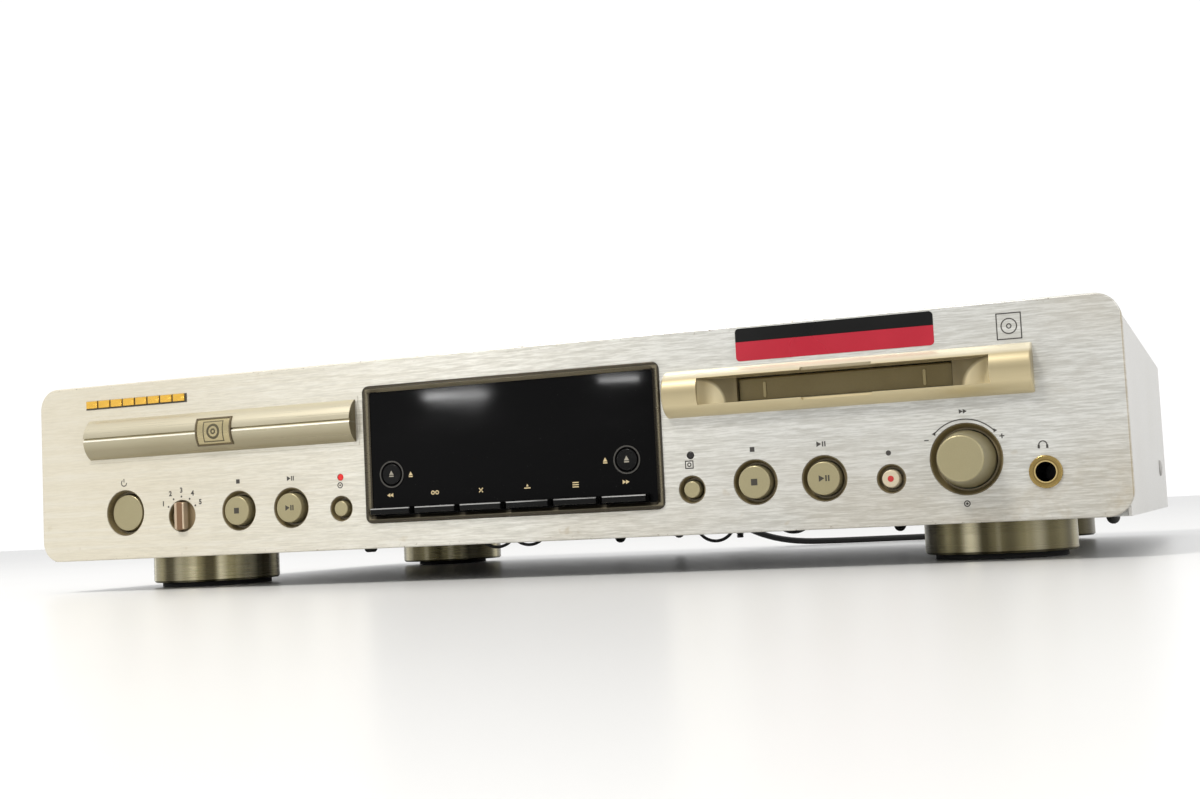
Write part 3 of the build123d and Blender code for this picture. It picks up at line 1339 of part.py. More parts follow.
# Rear sockets: a block of round sockets and two square optical ones
jack_last_x = jack_first_x + (jack_columns - 1) * jack_pitch
with BuildPart() as rear_jacks:
    places = [(jack_first_x + column * jack_pitch, z)
              for column in range(jack_columns) for z in (jack_low_z, jack_high_z)]
    with BuildSketch(face_at(panel_face)):
        with Locations(((jack_first_x + jack_last_x) / 2, (jack_low_z + jack_high_z) / 2)):
            RectangleRounded(jack_last_x - jack_first_x + 2 * jack_plate_margin,
                             jack_high_z - jack_low_z + 2 * jack_plate_margin, 2.0)
    extrude(amount=-jack_plate_thick)
    with BuildSketch(face_at(panel_face + jack_plate_thick)):
        with Locations(*places):
            Circle(jack_radius)
    extrude(amount=-jack_length)
    with BuildSketch(face_at(panel_face)):
        with Locations(*places):
            Circle(jack_radius - jack_hole_inset - 0.1)
    extrude(amount=chassis_sheet)
    with BuildSketch(face_at(panel_depth)):
        with Locations(((jack_first_x + jack_last_x) / 2, (jack_low_z + jack_high_z) / 2)):
            Rectangle(jack_last_x - jack_first_x + 2 * jack_block_margin,
                      jack_high_z - jack_low_z + 2 * jack_block_margin)
    extrude(amount=jack_block_depth)
    with BuildSketch(face_at(jack_end)):
        with Locations(*places):
            Circle(jack_bore)
    extrude(amount=jack_length + 4.0, mode=Mode.SUBTRACT)
    for index in range(2):
        with BuildSketch(face_at(panel_depth)):
            with Locations((optical_x + index * optical_pitch, optical_z)):
                Rectangle(optical_width + 2 * optical_wall, optical_height + 2 * optical_wall)
        extrude(amount=optical_depth + 2.0)
        with BuildSketch(face_at(panel_depth)):
            with Locations((optical_x + index * optical_pitch, optical_z)):
                Rectangle(optical_width, optical_height)
        extrude(amount=optical_depth, mode=Mode.SUBTRACT)
keep(rear_jacks, "rear_jacks")

# Strain relief of the mains lead: a flange inside the panel and a taper outside it
with BuildPart() as lead_relief:
    with BuildSketch(face_at(panel_face)):
        with Locations((cord_exit_x, cord_exit_z)):
            Circle(relief_base - 0.1)
    with BuildSketch(face_at(panel_face + relief_length)):
        with Locations((cord_exit_x, cord_exit_z)):
            Circle(relief_tip)
    loft()
    with BuildSketch(face_at(panel_face)):
        with Locations((cord_exit_x, cord_exit_z)):
            Circle(relief_base - 0.1)
    extrude(amount=chassis_sheet)
    with BuildSketch(face_at(panel_depth)):
        with Locations((cord_exit_x, cord_exit_z)):
            Circle(relief_flange)
    extrude(amount=relief_flange_thick)
keep(lead_relief, "lead_relief")

# Mains lead: from the relief down to the surface, along it to the coil, and from the coil to the plug
coil_outer = coil_inner + coil_pitch * coil_turns_in
coil_end = coil_inner + coil_pitch * coil_turns_out
coil_low = cord_radius
coil_high = cord_radius + coil_pitch
relief_end = panel_face + relief_length
lead_route = [
    (cord_exit_x, y_at(relief_end), cord_exit_z),
    (cord_exit_x, y_at(relief_end + 13), cord_exit_z),
    (-24.0, y_at(335), 20.5),
    (-15.0, y_at(343), 12.0),
    (-2.0, y_at(348), 5.6),
    (14.0, y_at(352), 2.2),
    (33.0, y_at(355.5), cord_radius),
    (56.0, y_at(357), cord_radius),
    (78.0, y_at(361), cord_radius),
    (99.0, y_at(coil_depth + coil_outer), cord_radius),
    (coil_x - cord_diameter, y_at(coil_depth + coil_outer), cord_radius),
]
tail_route = [
    (coil_x - coil_end, y_at(coil_depth + cord_diameter), coil_high),
    (coil_x - coil_end, y_at(350), coil_high),
    (93.0, y_at(362), 6.2),
    (98.0, y_at(373.5), 7.0),
    (107.0, y_at(381.5), 7.9),
    (117.5, y_at(plug_depth), 8.5),
    (plug_x, y_at(plug_depth), 8.5),
]


def bend_radii(route):
    # Each bend takes 0.45 of its shorter run.
    radii = []
    for before, corner, after in zip(route, route[1:], route[2:]):
        first, second = Vector(*corner) - Vector(*before), Vector(*after) - Vector(*corner)
        turn = math.radians(first.get_angle(second))
        radii.append(0.45 * min(first.length, second.length) / math.tan(turn / 2))
    return radii


def cord_section(path):
    with BuildSketch(Plane(origin=path.position_at(0), z_dir=path.tangent_at(0))) as section:
        Circle(cord_radius)
    return section.sketch


with BuildPart() as mains_lead:
    for name, route in (("lead", lead_route), ("tail", tail_route)):
        radii = bend_radii(route)
        with BuildLine() as path:
            FilletPolyline(*route, radius=radii)
        sweep(cord_section(path.wire()), path=path.wire())
        print(name, "radii", [round(radius, 1) for radius in radii], "length", round(path.wire().length, 1))
keep(mains_lead, "mains_lead")
cord_area = math.pi * cord_radius ** 2
print("lead volume", round(mains_lead.part.volume, 1))


def coil_point(turned):
    # The centre line after an angle in radians: in along the low layer, up, and out along the high one.
    inward = 2 * math.pi * coil_turns_in
    angle = math.pi / 2 - turned
    if turned <= inward:
        radius, height = coil_outer - coil_pitch * turned / (2 * math.pi), coil_low
    elif turned <= inward + math.pi:
        climb = turned - inward
        radius = coil_inner - coil_pitch / 4 * math.sin(climb)
        height = coil_low + (coil_high - coil_low) * (1 - math.cos(climb)) / 2
    else:
        radius = coil_inner + coil_pitch * (turned - inward - math.pi) / (2 * math.pi)
        height = coil_high
    return Vector(coil_x + radius * math.cos(angle), y_at(coil_depth) + radius * math.sin(angle), height)


def biarc_to(start, start_way, end, end_way):
    # Two arcs that meet smoothly, from one point and direction to another.
    across = end - start
    square = 2 * (1 - start_way.dot(end_way))
    linear = 2 * across.dot(start_way + end_way)
    reach = (math.sqrt(linear ** 2 + 4 * square * across.dot(across)) - linear) / (2 * square)
    near, far = start + start_way * reach, end - end_way * reach
    TangentArc(start, (near + far) / 2, tangent=start_way)
    TangentArc((near + far) / 2, end, tangent=(far - near).normalized())


quarter = math.pi / 2
quarters = round(4 * (coil_turns_in + 0.5 + coil_turns_out))
nodes = [coil_point(quarter * step) for step in range(quarters + 1)]
ways = [(coil_point(quarter * step + 0.01) - coil_point(quarter * step - 0.01)).normalized()
        for step in range(quarters + 1)]
ways[0], ways[-1] = Vector(1, 0, 0), Vector(0, 1, 0)
with BuildPart() as lead_coil:
    with BuildLine() as path:
        Line(nodes[0] - ways[0] * cord_diameter, nodes[0])
        for step in range(quarters):
            biarc_to(nodes[step], ways[step], nodes[step + 1], ways[step + 1])
        Line(nodes[-1], nodes[-1] + ways[-1] * cord_diameter)
    coil_wire = path.wire()
    sweep(cord_section(coil_wire), path=coil_wire)
keep(lead_coil, "lead_coil")
samples = int(coil_wire.length / 2.5)
along = [coil_wire.position_at(index / samples) for index in range(samples + 1)]
least = min((along[first] - along[second]).length for first in range(samples + 1)
            for second in range(first + 6, samples + 1))
print("coil length", round(coil_wire.length, 1), "least gap", round(least - cord_diameter, 2))
print("coil volume", round(lead_coil.part.volume, 1),
      "section times length", round(cord_area * coil_wire.length, 1))

# Two-pin plug beside the coil
plug_z = plug_height / 2
with BuildPart() as mains_plug:
    with BuildSketch(Plane.YZ.offset(plug_x)):
        with Locations((y_at(plug_depth), plug_z)):
            RectangleRounded(plug_width * 0.6, plug_height * 0.62, 3.0)
    with BuildSketch(Plane.YZ.offset(plug_x + plug_length * 0.45)):
        with Locations((y_at(plug_depth), plug_z)):
            RectangleRounded(plug_width, plug_height, 3.0)
    loft()
    with BuildSketch(Plane.YZ.offset(plug_x + plug_length * 0.45)):
        with Locations((y_at(plug_depth), plug_z)):
            RectangleRounded(plug_width, plug_height, 3.0)
    extrude(amount=plug_length * 0.55)
    fillet(mains_plug.faces().sort_by(Axis.X)[-1].edges(), 1.2)
    with BuildSketch(Plane.YZ.offset(plug_x + plug_length)):
        for side in (-1, 1):
            with Locations((y_at(plug_depth) + side * blade_pitch / 2, plug_z)):
                Rectangle(blade_thick, blade_width)
    extrude(amount=blade_length)
keep(mains_plug, "mains_plug")
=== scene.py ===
import bmesh
import bpy
import json
import math
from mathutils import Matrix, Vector


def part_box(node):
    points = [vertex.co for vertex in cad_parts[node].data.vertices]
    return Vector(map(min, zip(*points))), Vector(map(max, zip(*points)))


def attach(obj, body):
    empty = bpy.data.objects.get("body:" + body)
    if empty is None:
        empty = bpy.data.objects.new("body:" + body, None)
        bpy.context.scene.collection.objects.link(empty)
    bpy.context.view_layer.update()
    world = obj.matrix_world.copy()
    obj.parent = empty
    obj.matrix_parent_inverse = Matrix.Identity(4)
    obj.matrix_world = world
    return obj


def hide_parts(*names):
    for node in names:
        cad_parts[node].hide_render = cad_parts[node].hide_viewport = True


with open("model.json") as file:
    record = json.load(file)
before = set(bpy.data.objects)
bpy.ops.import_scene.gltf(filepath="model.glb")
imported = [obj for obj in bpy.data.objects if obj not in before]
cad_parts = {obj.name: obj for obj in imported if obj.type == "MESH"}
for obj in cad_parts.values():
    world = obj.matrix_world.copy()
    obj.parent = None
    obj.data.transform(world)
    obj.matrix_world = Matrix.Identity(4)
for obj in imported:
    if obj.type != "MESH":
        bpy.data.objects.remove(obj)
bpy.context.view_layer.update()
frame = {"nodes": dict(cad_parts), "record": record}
cadNodes = frame["nodes"]
print("frame loaded:", len(cadNodes), "nodes")

frontY = -0.1413    # front face of the plate


def spot(x, depth, z):    # millimetres: from the middle, behind the plate's front, above the table
    return Vector((x / 1000, frontY + depth / 1000, z / 1000))


# Camera
shot = {"place": (0.2510, -0.6734, 0.0202), "turn": (94.357, 2.7291, 22.0869), "lens": 47.2}
cameraData = bpy.data.cameras.new("shotCamera")
cameraData.lens = shot["lens"]
cameraData.sensor_width = 36
cameraData.clip_start = 0.01
camera = bpy.data.objects.new("shotCamera", cameraData)
camera.location = shot["place"]
camera.rotation_euler = [math.radians(angle) for angle in shot["turn"]]
bpy.context.collection.objects.link(camera)
bpy.context.scene.camera = camera
bpy.context.scene.view_settings.view_transform = "Standard"    # a bright catalogue look
print("camera set")


# Finishes: a wire carries a shader value, and sums on it add Math nodes
class Wire:
    def __init__(self, nodes, socket):
        self.nodes = nodes
        self.socket = socket

    def math(self, operation, first, second=0.0):
        return self.nodes.add("ShaderNodeMath", {"operation": operation}, {0: first, 1: second})

    def __add__(self, other):
        return self.math("ADD", self, other)

    __radd__ = __add__

    def __sub__(self, other):
        return self.math("SUBTRACT", self, other)

    def __rsub__(self, other):
        return self.math("SUBTRACT", other, self)

    def __mul__(self, other):
        return self.math("MULTIPLY", self, other)

    __rmul__ = __mul__

    def __gt__(self, other):
        return self.math("GREATER_THAN", self, other)

    def __lt__(self, other):
        return self.math("LESS_THAN", self, other)

    def __abs__(self):
        return self.math("ABSOLUTE", self)

    def root(self):
        return self.math("SQRT", self)

    def least(self, other):
        return self.math("MINIMUM", self, other)

    def most(self, other):
        return self.math("MAXIMUM", self, other)

    def within(self, low, high):
        return (self > low) * (self < high)


class Nodes:    # the shader nodes of a finish or of the sky
    def __init__(self, tree):
        self.tree = tree

    def plug(self, socket, value):
        if isinstance(value, Wire):
            self.tree.links.new(value.socket, socket)
        else:
            socket.default_value = value

    def add(self, kind, settings, inputs, output=0):
        node = self.tree.nodes.new(kind)
        for setting, value in settings.items():
            setattr(node, setting, value)
        for socket, value in inputs.items():
            self.plug(node.inputs[socket], value)
        return Wire(self, node.outputs[output])

    def spread(self, value, low, high, start=0.0, end=1.0):    # stretches low..high to start..end
        return self.add("ShaderNodeMapRange", {"clamp": True},
                        {"Value": value, "From Min": low, "From Max": high,
                         "To Min": start, "To Max": end})


class Finish(Nodes):
    def __init__(self, name, colour, roughness, metallic=0.0, fixed=None):
        self.material = bpy.data.materials.new(name)
        self.material.use_nodes = True
        super().__init__(self.material.node_tree)
        self.shader = self.tree.nodes["Principled BSDF"]
        self.base = colour
        self.points = None
        self.grain = None
        self.give("Base Color", (*colour, 1.0))
        self.give("Roughness", roughness)
        self.give("Metallic", metallic)
        for socket, value in (fixed or {}).items():
            self.give(socket, value)

    def give(self, socket, value):
        self.plug(self.shader.inputs[socket], value)

    def place(self):    # where a point is on the piece, in metres
        if self.points is None:
            self.points = self.add("ShaderNodeTexCoord", {}, {}, "Object")
        return self.points

    def part(self, axis):    # one of X, Y or Z, in millimetres
        return self.add("ShaderNodeSeparateXYZ", {}, {0: self.place()}, axis) * 1000.0

    def before(self, depth):    # 1 nearer than a depth behind the plate's front, in millimetres
        return self.part("Y") < frontY * 1000 + depth

    def behind(self, depth):
        return self.part("Y") > frontY * 1000 + depth

    def noise(self, density, detail=2.0, rough=0.5):    # density: features a metre along X, Y and Z
        spread = self.add("ShaderNodeMapping", {}, {"Vector": self.place(), "Scale": density})
        return self.add("ShaderNodeTexNoise", {}, {"Vector": spread, "Scale": 1.0,
                                                   "Detail": detail, "Roughness": rough})

    def drawn(self):    # a fine grain along X
        if self.grain is None:
            self.grain = self.noise((18, 2500, 2500), 3.0, 0.6)
        return self.grain

    def cells(self, density):    # distance to the borders of irregular cells
        spread = self.add("ShaderNodeMapping", {}, {"Vector": self.place(), "Scale": density})
        return self.add("ShaderNodeTexVoronoi", {"feature": "DISTANCE_TO_EDGE"},
                        {"Vector": spread, "Scale": 1.0})

    def mix(self, mask, *colours):    # the first colour where the mask is 0, the second where 1
        ends = [each if isinstance(each, Wire) else (*each, 1.0) for each in colours]
        return self.add("ShaderNodeMix", {"data_type": "RGBA"}, {0: mask, 6: ends[0], 7: ends[1]},
                        2)

    def tint(self, mask, colour):    # lays a colour over what is there, where the mask is 1
        self.base = self.mix(mask, self.base, colour)
        self.give("Base Color", self.base)

    def polish(self, pattern, smoothest, roughest):
        self.give("Roughness", self.spread(pattern, 0.3, 0.7, smoothest, roughest))

    def bump(self, height, strength, depth):    # depth in millimetres
        self.give("Normal", self.add("ShaderNodeBump", {}, {
            "Strength": strength, "Distance": depth / 1000, "Height": height}))


def tone(colour, amount):
    return tuple(min(1.0, value * amount) for value in colour)


def brushedPlate():    # warm at the left, cooler and more strongly brushed to the right
    look = {"warm": (0.725, 0.675, 0.545), "cool": (0.650, 0.655, 0.625),
            "pale": (0.86, 0.86, 0.83), "deep": (0.36, 0.35, 0.315),
            "stain": (0.36, 0.27, 0.13), "nick": (0.16, 0.12, 0.07),
            "topEdge": (85.5, 85.9), "sideEdge": 219.6}
    made = Finish("brushedPlate", look["warm"], 0.36, 0.55)
    across, height = made.part("X"), made.part("Z")
    lines = made.noise((130, 60, 1750), 3.0, 0.62)
    threads = made.noise((280, 90, 3600), 2.0, 0.6)
    bands = made.noise((7, 7, 520), 2.0, 0.6)
    clouds = made.noise((9, 9, 16), 3.0)
    topEdge = made.spread(height, *look["topEdge"], 1.0, 0.12)    # the grain stays off it
    strength = made.spread(across, -200.0, 120.0, 0.13, 0.58) * topEdge
    made.tint(made.spread(across, -170.0, 110.0), look["cool"])
    made.tint(made.spread(lines, 0.42, 0.70) * strength, look["deep"])
    made.tint(made.spread(lines, 0.52, 0.30) * strength, look["pale"])
    made.tint(made.spread(threads, 0.45, 0.75) * strength * 0.6, look["deep"])
    made.tint(made.spread(bands, 0.48, 0.75) * topEdge * 0.20, look["pale"])
    low = made.spread(height, 14.0, 48.0, 1.0, 0.15)
    made.tint(made.spread(clouds, 0.48, 0.70) * low * 0.34, look["stain"])
    spots = made.spread(made.noise((150, 150, 150), 2.0), 0.68, 0.75) * low
    made.tint(spots * 0.36, look["stain"])
    side = made.spread(across, 190.0, 219.0)
    made.tint(made.spread(clouds, 0.42, 0.66) * side * 0.26, look["stain"])
    smudges = made.spread(made.noise((110, 110, 110), 4.0, 0.65), 0.48, 0.66)
    corner = made.spread(across, 150.0, 216.0) * made.spread(height, 36.0, 14.0)
    made.tint(smudges * corner * 0.42, look["stain"])
    made.tint((abs(across) > look["sideEdge"]) * 0.5, look["stain"])
    specks = made.spread(made.noise((700, 500, 900), 3.0), 0.66, 0.72)
    rim = made.spread(height, 83.8, 85.8) + made.spread(height, 13.4, 15.0, 1.0, 0.0)
    made.tint(specks * rim * made.before(0.9) * 0.7, look["nick"])
    made.polish(lines, 0.28, 0.44)
    made.bump(lines, 0.4, 0.05)
    return made.material


def satin(name, look, patinaShare=0.25):    # metal with a fine drawn grain along X
    made = Finish(name, look["colour"], look["roughness"], look["metallic"])
    clouds = made.noise((30, 30, 60), 2.0)
    made.tint(made.spread(made.drawn(), 0.3, 0.7) * look["grain"], tone(look["colour"], 0.7))
    made.tint(made.spread(clouds, 0.5, 0.8) * patinaShare, look["patina"])
    made.polish(made.drawn(), look["roughness"] - 0.05, look["roughness"] + 0.07)
    made.bump(made.drawn(), 0.2, 0.03)
    return made


def satinMetal(name, look):
    made = satin(name, look)
    specks = made.spread(made.noise((900, 900, 900), 2.0), 0.70, 0.74)
    made.tint(specks * 0.4, tone(look["patina"], 0.5))
    return made.material


def soft(name, look):    # bead-blasted or painted metal
    made = Finish(name, look["colour"], look["roughness"], look["metallic"])
    grain = made.noise((2600, 2600, 2600), 2.0)
    clouds = made.noise((60, 60, 60), 3.0)
    made.polish(clouds, look["roughness"] - 0.06, look["roughness"] + 0.08)
    made.bump(grain, 0.25, 0.03)
    made.tint(made.spread(clouds, 0.4, 0.8) * 0.35, look["patina"])
    made.tint(made.spread(grain, 0.35, 0.7) * 0.15, tone(look["colour"], 0.6))
    return made


def softMetal(name, look):
    return soft(name, look).material


def coverPaint():    # painted shade darkens the top, which is also rougher
    look = {"colour": (0.70, 0.69, 0.66), "dust": (0.55, 0.52, 0.46), "top": (85.0, 85.7)}
    made = Finish("coverPaint", look["colour"], 0.42, 0.25)
    pebbles = made.noise((1500, 1500, 1500), 3.0, 0.6)
    clouds = made.noise((12, 12, 12), 3.0)
    made.tint(made.spread(pebbles, 0.35, 0.7) * 0.18, tone(look["colour"], 0.75))
    made.tint(made.spread(clouds, 0.5, 0.8) * 0.22, look["dust"])
    # painted shade: the top surface is tinted darker towards the dust colour
    paintedTopShade = made.spread(made.part("Z"), *look["top"]) * made.spread(clouds, 0.2, 0.8, 0.38, 0.62)
    made.tint(paintedTopShade, look["dust"])
    made.give("Roughness", made.spread(pebbles, 0.3, 0.7, 0.36, 0.52) + paintedTopShade * 0.15)
    made.bump(pebbles, 0.45, 0.08)
    return made.material


def displayTrim():    # bronze, with painted shade on the outer chamfer, on the inner walls and under the keys
    look = {"colour": (0.185, 0.160, 0.105), "edge": (0.030, 0.025, 0.018), "band": 1.5,
            "middle": (-0.75, 49.4), "half": (61.25, 26.6), "foot": (24.5, 30.0)}
    made = Finish("displayTrim", look["colour"], 0.30, 0.75)
    across, height = made.part("X"), made.part("Z")
    acrossIn = look["half"][0] - abs(across - look["middle"][0])
    heightIn = look["half"][1] - abs(height - look["middle"][1])
    outward = (across > 0.0) * 1.15 - 0.2    # the right bar's bronze line lies further out
    # painted shade: a dark band along the outer chamfer and on the inner walls, and the strip under
    # the keys darkened as if in their shadow
    nearest = (acrossIn + outward).least(heightIn)
    inner = acrossIn.within(1.95 - outward, 6.0) * (heightIn > 2.4)
    inner = inner + height.within(*look["foot"]) * (acrossIn > 2.3)
    edge = made.spread(nearest, look["band"], look["band"] - 0.4) + made.spread(inner, 0.0, 1.0)
    made.tint(made.spread(made.drawn(), 0.3, 0.7) * 0.3, tone(look["colour"], 0.6))
    made.tint(edge * 0.85, look["edge"])
    made.polish(made.drawn(), 0.24, 0.36)
    made.bump(made.drawn(), 0.15, 0.02)
    return made.material


def drawerBarFinish(look):    # painted highlight on the upper half, painted shade on the lower half and on the right end, and a painted highlight along the groove's lip
    made = satin("drawerBar", look)
    height = made.part("Z")
    lip = height.within(*look["lip"])
    # painted shade below the groove, where the bar faces down, and a painted highlight above it
    low = made.spread(height, 62.4, 58.5, 0.0, 0.62)
    high = made.spread(height, 63.4, 67.0)
    made.tint(low, tone(look["patina"], 0.72))
    made.tint(high * 0.50, look["paintedHighlight"])
    # painted highlight along the groove's lower face, and painted shade on the right end face
    made.tint(lip * 0.85, look["paintedGrooveHighlight"])
    made.tint(made.part("X") > look["end"], look["paintedEndShade"])
    made.give("Metallic", look["metallic"] - lip * 0.6 - high * 0.16)
    return made.material


def badgeFace():    # worn brass with a plain disc sign
    look = {"brass": (0.50, 0.43, 0.25), "worn": (0.28, 0.22, 0.11), "sign": (0.055, 0.05, 0.035),
            "middle": (-128.7, 62.85), "disc": (2.1, 3.1), "hub": (0.5, 1.2), "square": (3.75, 4.2)}
    made = Finish("badgeFace", look["brass"], 0.30, 0.85)
    across, height = made.part("X") - look["middle"][0], made.part("Z") - look["middle"][1]
    away = (across * across + height * height).root()
    wide = (abs(across) * 0.86).most(abs(height))
    sign = 0.0
    for reach, band in ((away, look["disc"]), (away, look["hub"]), (wide, look["square"])):
        sign = reach.within(*band) + sign
    made.tint(made.spread(made.drawn(), 0.3, 0.7) * 0.35, look["worn"])
    made.tint(sign * 0.85, look["sign"])
    made.give("Roughness", made.spread(made.drawn(), 0.3, 0.7, 0.24, 0.36) + sign * 0.15)
    made.bump(made.drawn(), 0.2, 0.03)
    return made.material


def turnedFoot():
    look = {"colour": (0.33, 0.29, 0.155), "dark": (0.040, 0.032, 0.014),
            "light": (0.74, 0.68, 0.47)}
    made = Finish("turnedFoot", look["colour"], 0.27, 0.80)
    # painted reflections: vertical light and dark bands round the ring
    streaks = made.noise((120, 120, 0.4), 1.0, 0.4)
    paintedReflectionBands = made.noise((62, 62, 0.4), 1.0)
    rings = made.noise((2, 2, 900), 2.0)
    made.tint(made.spread(streaks, 0.50, 0.62) * 0.85, look["light"])
    made.tint(made.spread(paintedReflectionBands, 0.44, 0.58) * 0.85, look["dark"])
    made.polish(rings, 0.25, 0.29)
    made.bump(rings, 0.03, 0.01)
    return made.material


def moulded(name, colour, roughness, grain=900, depth=0.05, fixed=None):
    made = Finish(name, colour, roughness, 0.0, fixed)
    pebbles = made.noise((grain, grain, grain), 3.0, 0.6)
    clouds = made.noise((25, 25, 25), 3.0)
    made.tint(made.spread(clouds, 0.45, 0.8) * 0.4, tone(colour, 1.8))
    made.polish(clouds, roughness - 0.05, roughness + 0.10)
    made.bump(pebbles, 0.35, depth)
    return made.material


def darkWindow():
    look = {"colour": (0.0035, 0.0035, 0.0037), "ring": (0.075, 0.072, 0.066),
            "dust": (0.06, 0.06, 0.06), "ringDepth": 0.45}
    made = Finish("darkWindow", look["colour"], 0.06, 0.0,
                  {"IOR": 1.49, "Specular IOR Level": 0.06})
    raised = made.before(look["ringDepth"])
    dust = made.noise((1400, 1400, 1400), 2.0)
    smears = made.noise((25, 25, 60), 3.0)
    made.tint(made.spread(dust, 0.72, 0.76) * 0.35, look["dust"])
    made.tint(raised, look["ring"])
    made.give("Roughness", made.spread(smears, 0.4, 0.8, 0.04, 0.12) + raised * 0.25)
    made.give("Metallic", raised * 0.4)
    return made.material


def gripKnob():    # the mode knob: a copper-brown grip on an olive disc, with painted highlights along the grip's edges
    look = {"disc": (0.34, 0.265, 0.16), "grip": (0.17, 0.098, 0.052), "edge": (0.62, 0.50, 0.36),
            "middle": -148.5, "gripHalf": 2.35, "discDepth": 0.6}
    made = Finish("gripKnob", look["disc"], 0.36, 0.55)
    aside = made.part("X") - look["middle"]
    front = made.before(look["discDepth"])
    streaks = made.noise((900, 900, 14), 3.0, 0.6)
    grip = made.mix(made.spread(streaks, 0.35, 0.65) * 0.45, look["grip"], tone(look["grip"], 1.6))
    # painted highlight: pale lines along the grip's edges and beside its middle
    edge = abs(aside).within(1.8, look["gripHalf"]) + aside.within(-1.85, -0.9) * 0.75
    made.tint(made.spread(streaks, 0.40, 0.7) * 0.3, tone(look["disc"], 0.6))
    made.tint((abs(aside) < look["gripHalf"]) * front, grip)
    made.tint(edge * front, look["edge"])
    made.polish(streaks, 0.30, 0.44)
    made.bump(streaks, 0.2, 0.03)
    return made.material


def keyBlack():    # gloss black with a painted highlight along each key's upper front edge
    look = {"colour": (0.004, 0.004, 0.004), "line": (0.30, 0.30, 0.295), "top": 28.4,
            "lineDepth": -3.55}
    made = Finish("keyBlack", look["colour"], 0.20, 0.0, {"Specular IOR Level": 0.14})
    height = made.part("Z")
    # painted highlight along the key's top front edge
    pale = height.within(look["top"] - 0.45, look["top"] + 0.1) * made.before(look["lineDepth"])
    smears = made.noise((60, 60, 900), 2.0)
    made.tint(pale * made.spread(smears, 0.25, 0.5), look["line"])
    made.polish(smears, 0.14, 0.24)
    return made.material


def statusLamp():    # the left lamp is lit
    look = {"lit": (0.50, 0.012, 0.010), "dark": (0.008, 0.006, 0.005), "glow": (0.85, 0.012, 0.01),
            "power": 0.28}
    made = Finish("statusLamp", look["dark"], 0.3, 0.0, {"Emission Strength": look["power"]})
    lit = made.part("X") < 0.0
    core = made.spread(made.noise((900, 900, 900), 1.0), 0.2, 0.8, 0.6, 1.0)
    made.tint(lit, look["lit"])
    made.give("Emission Color", made.mix(lit * core, (0, 0, 0), look["glow"]))
    return made.material


def goldSocket():    # a bright lip and a groove round the bore, silver along the outer edge
    look = {"gold": (0.40, 0.285, 0.10), "worn": (0.20, 0.13, 0.045), "bright": (0.78, 0.60, 0.27),
            "silver": (0.40, 0.37, 0.29), "bore": (0.006, 0.006, 0.006), "boreRadius": 3.25,
            "boreDepth": 0.5}
    made = Finish("goldSocket", look["gold"], 0.22, 1.0)
    inside = made.behind(look["boreDepth"])
    wear = made.spread(made.noise((400, 400, 400), 3.0), 0.45, 0.75) * 0.5
    low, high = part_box("headphone_jack")
    across = made.part("X") - (low[0] + high[0]) * 500
    height = made.part("Z") - (low[2] + high[2]) * 500
    away = (across * across + height * height).root()
    widest, bore = (high[0] - low[0]) * 500, look["boreRadius"]
    groove = away.within(bore + 0.5, bore + 0.9)
    made.tint(wear, look["worn"])
    made.tint(groove * 0.6, look["worn"])
    made.tint(made.spread(away, bore + 0.50, bore + 0.30), look["bright"])
    made.tint((away > widest - 0.5) * 0.9, look["silver"])
    made.tint(inside, look["bore"])
    made.give("Metallic", 1.0 - inside)
    made.give("Roughness", made.spread(wear, 0.0, 0.5, 0.18, 0.38) + inside * 0.2)
    return made.material


def bezelFinish(look):    # satin gold, with a painted highlight on the floor of each scoop, painted shadow towards the slot, and painted highlights on the lower part and along the crest
    made = satin("slotBezel", look, 0.2)
    across, height = made.part("X"), made.part("Z")
    rise = (height - look["floor"]) * (1 / look["rise"])
    reaches = []
    for start, run in look["scoops"]:
        aside = (across - start) * (1 / run)
        reaches.append(aside * aside + rise * rise)
    reach = reaches[0].least(reaches[1])
    hollow = across.within(look["scoops"][0][0], look["scoops"][1][0])
    hollow = hollow * height.within(look["floor"] + 0.1, look["floor"] + 9.4)
    pale = made.spread(reach, 1.08, 0.82)
    # painted highlight on the lower part and along the crest
    made.tint(made.spread(height, 63.5, 59.0) * 0.75, look["low"])
    made.tint(made.spread(height, 68.2, 69.6) * 0.8, look["paintedCrestHighlight"])
    # painted light in the scoops: pale where the floor would be lit, dark where the ceiling's
    # shadow would fall
    made.tint(hollow * pale * 0.8, look["pale"])
    made.tint(hollow * (1.0 - pale) * 0.7, look["dark"])
    made.polish(made.drawn(), look["roughness"] - 0.04, look["roughness"] + 0.06)
    made.bump(made.drawn(), 0.12, 0.02)
    return made.material


def flapFinish(look):    # olive plastic, with a painted highlight on the two ribs
    made = soft("slotFlap", look)
    # painted highlight on the raised ribs
    made.tint(made.before(look["front"] - 0.12) * 0.9, look["rib"])
    return made.material


def circuitBoard(name, top):    # green below the part's face at top, dark components above it
    look = {"mask": (0.03, 0.16, 0.07), "trace": (0.06, 0.26, 0.11), "dark": (0.03, 0.03, 0.03)}
    made = Finish(name, look["trace"], 0.38)
    axis, level, rising = top
    tracks = made.spread(made.cells((260, 260, 260)), 0.02, 0.08)
    where = made.part(axis)
    above = (where > level) if rising else (where < level)
    made.tint(tracks, look["mask"])
    made.tint(above, look["dark"])
    made.bump(tracks, 0.3, 0.05)
    return made.material


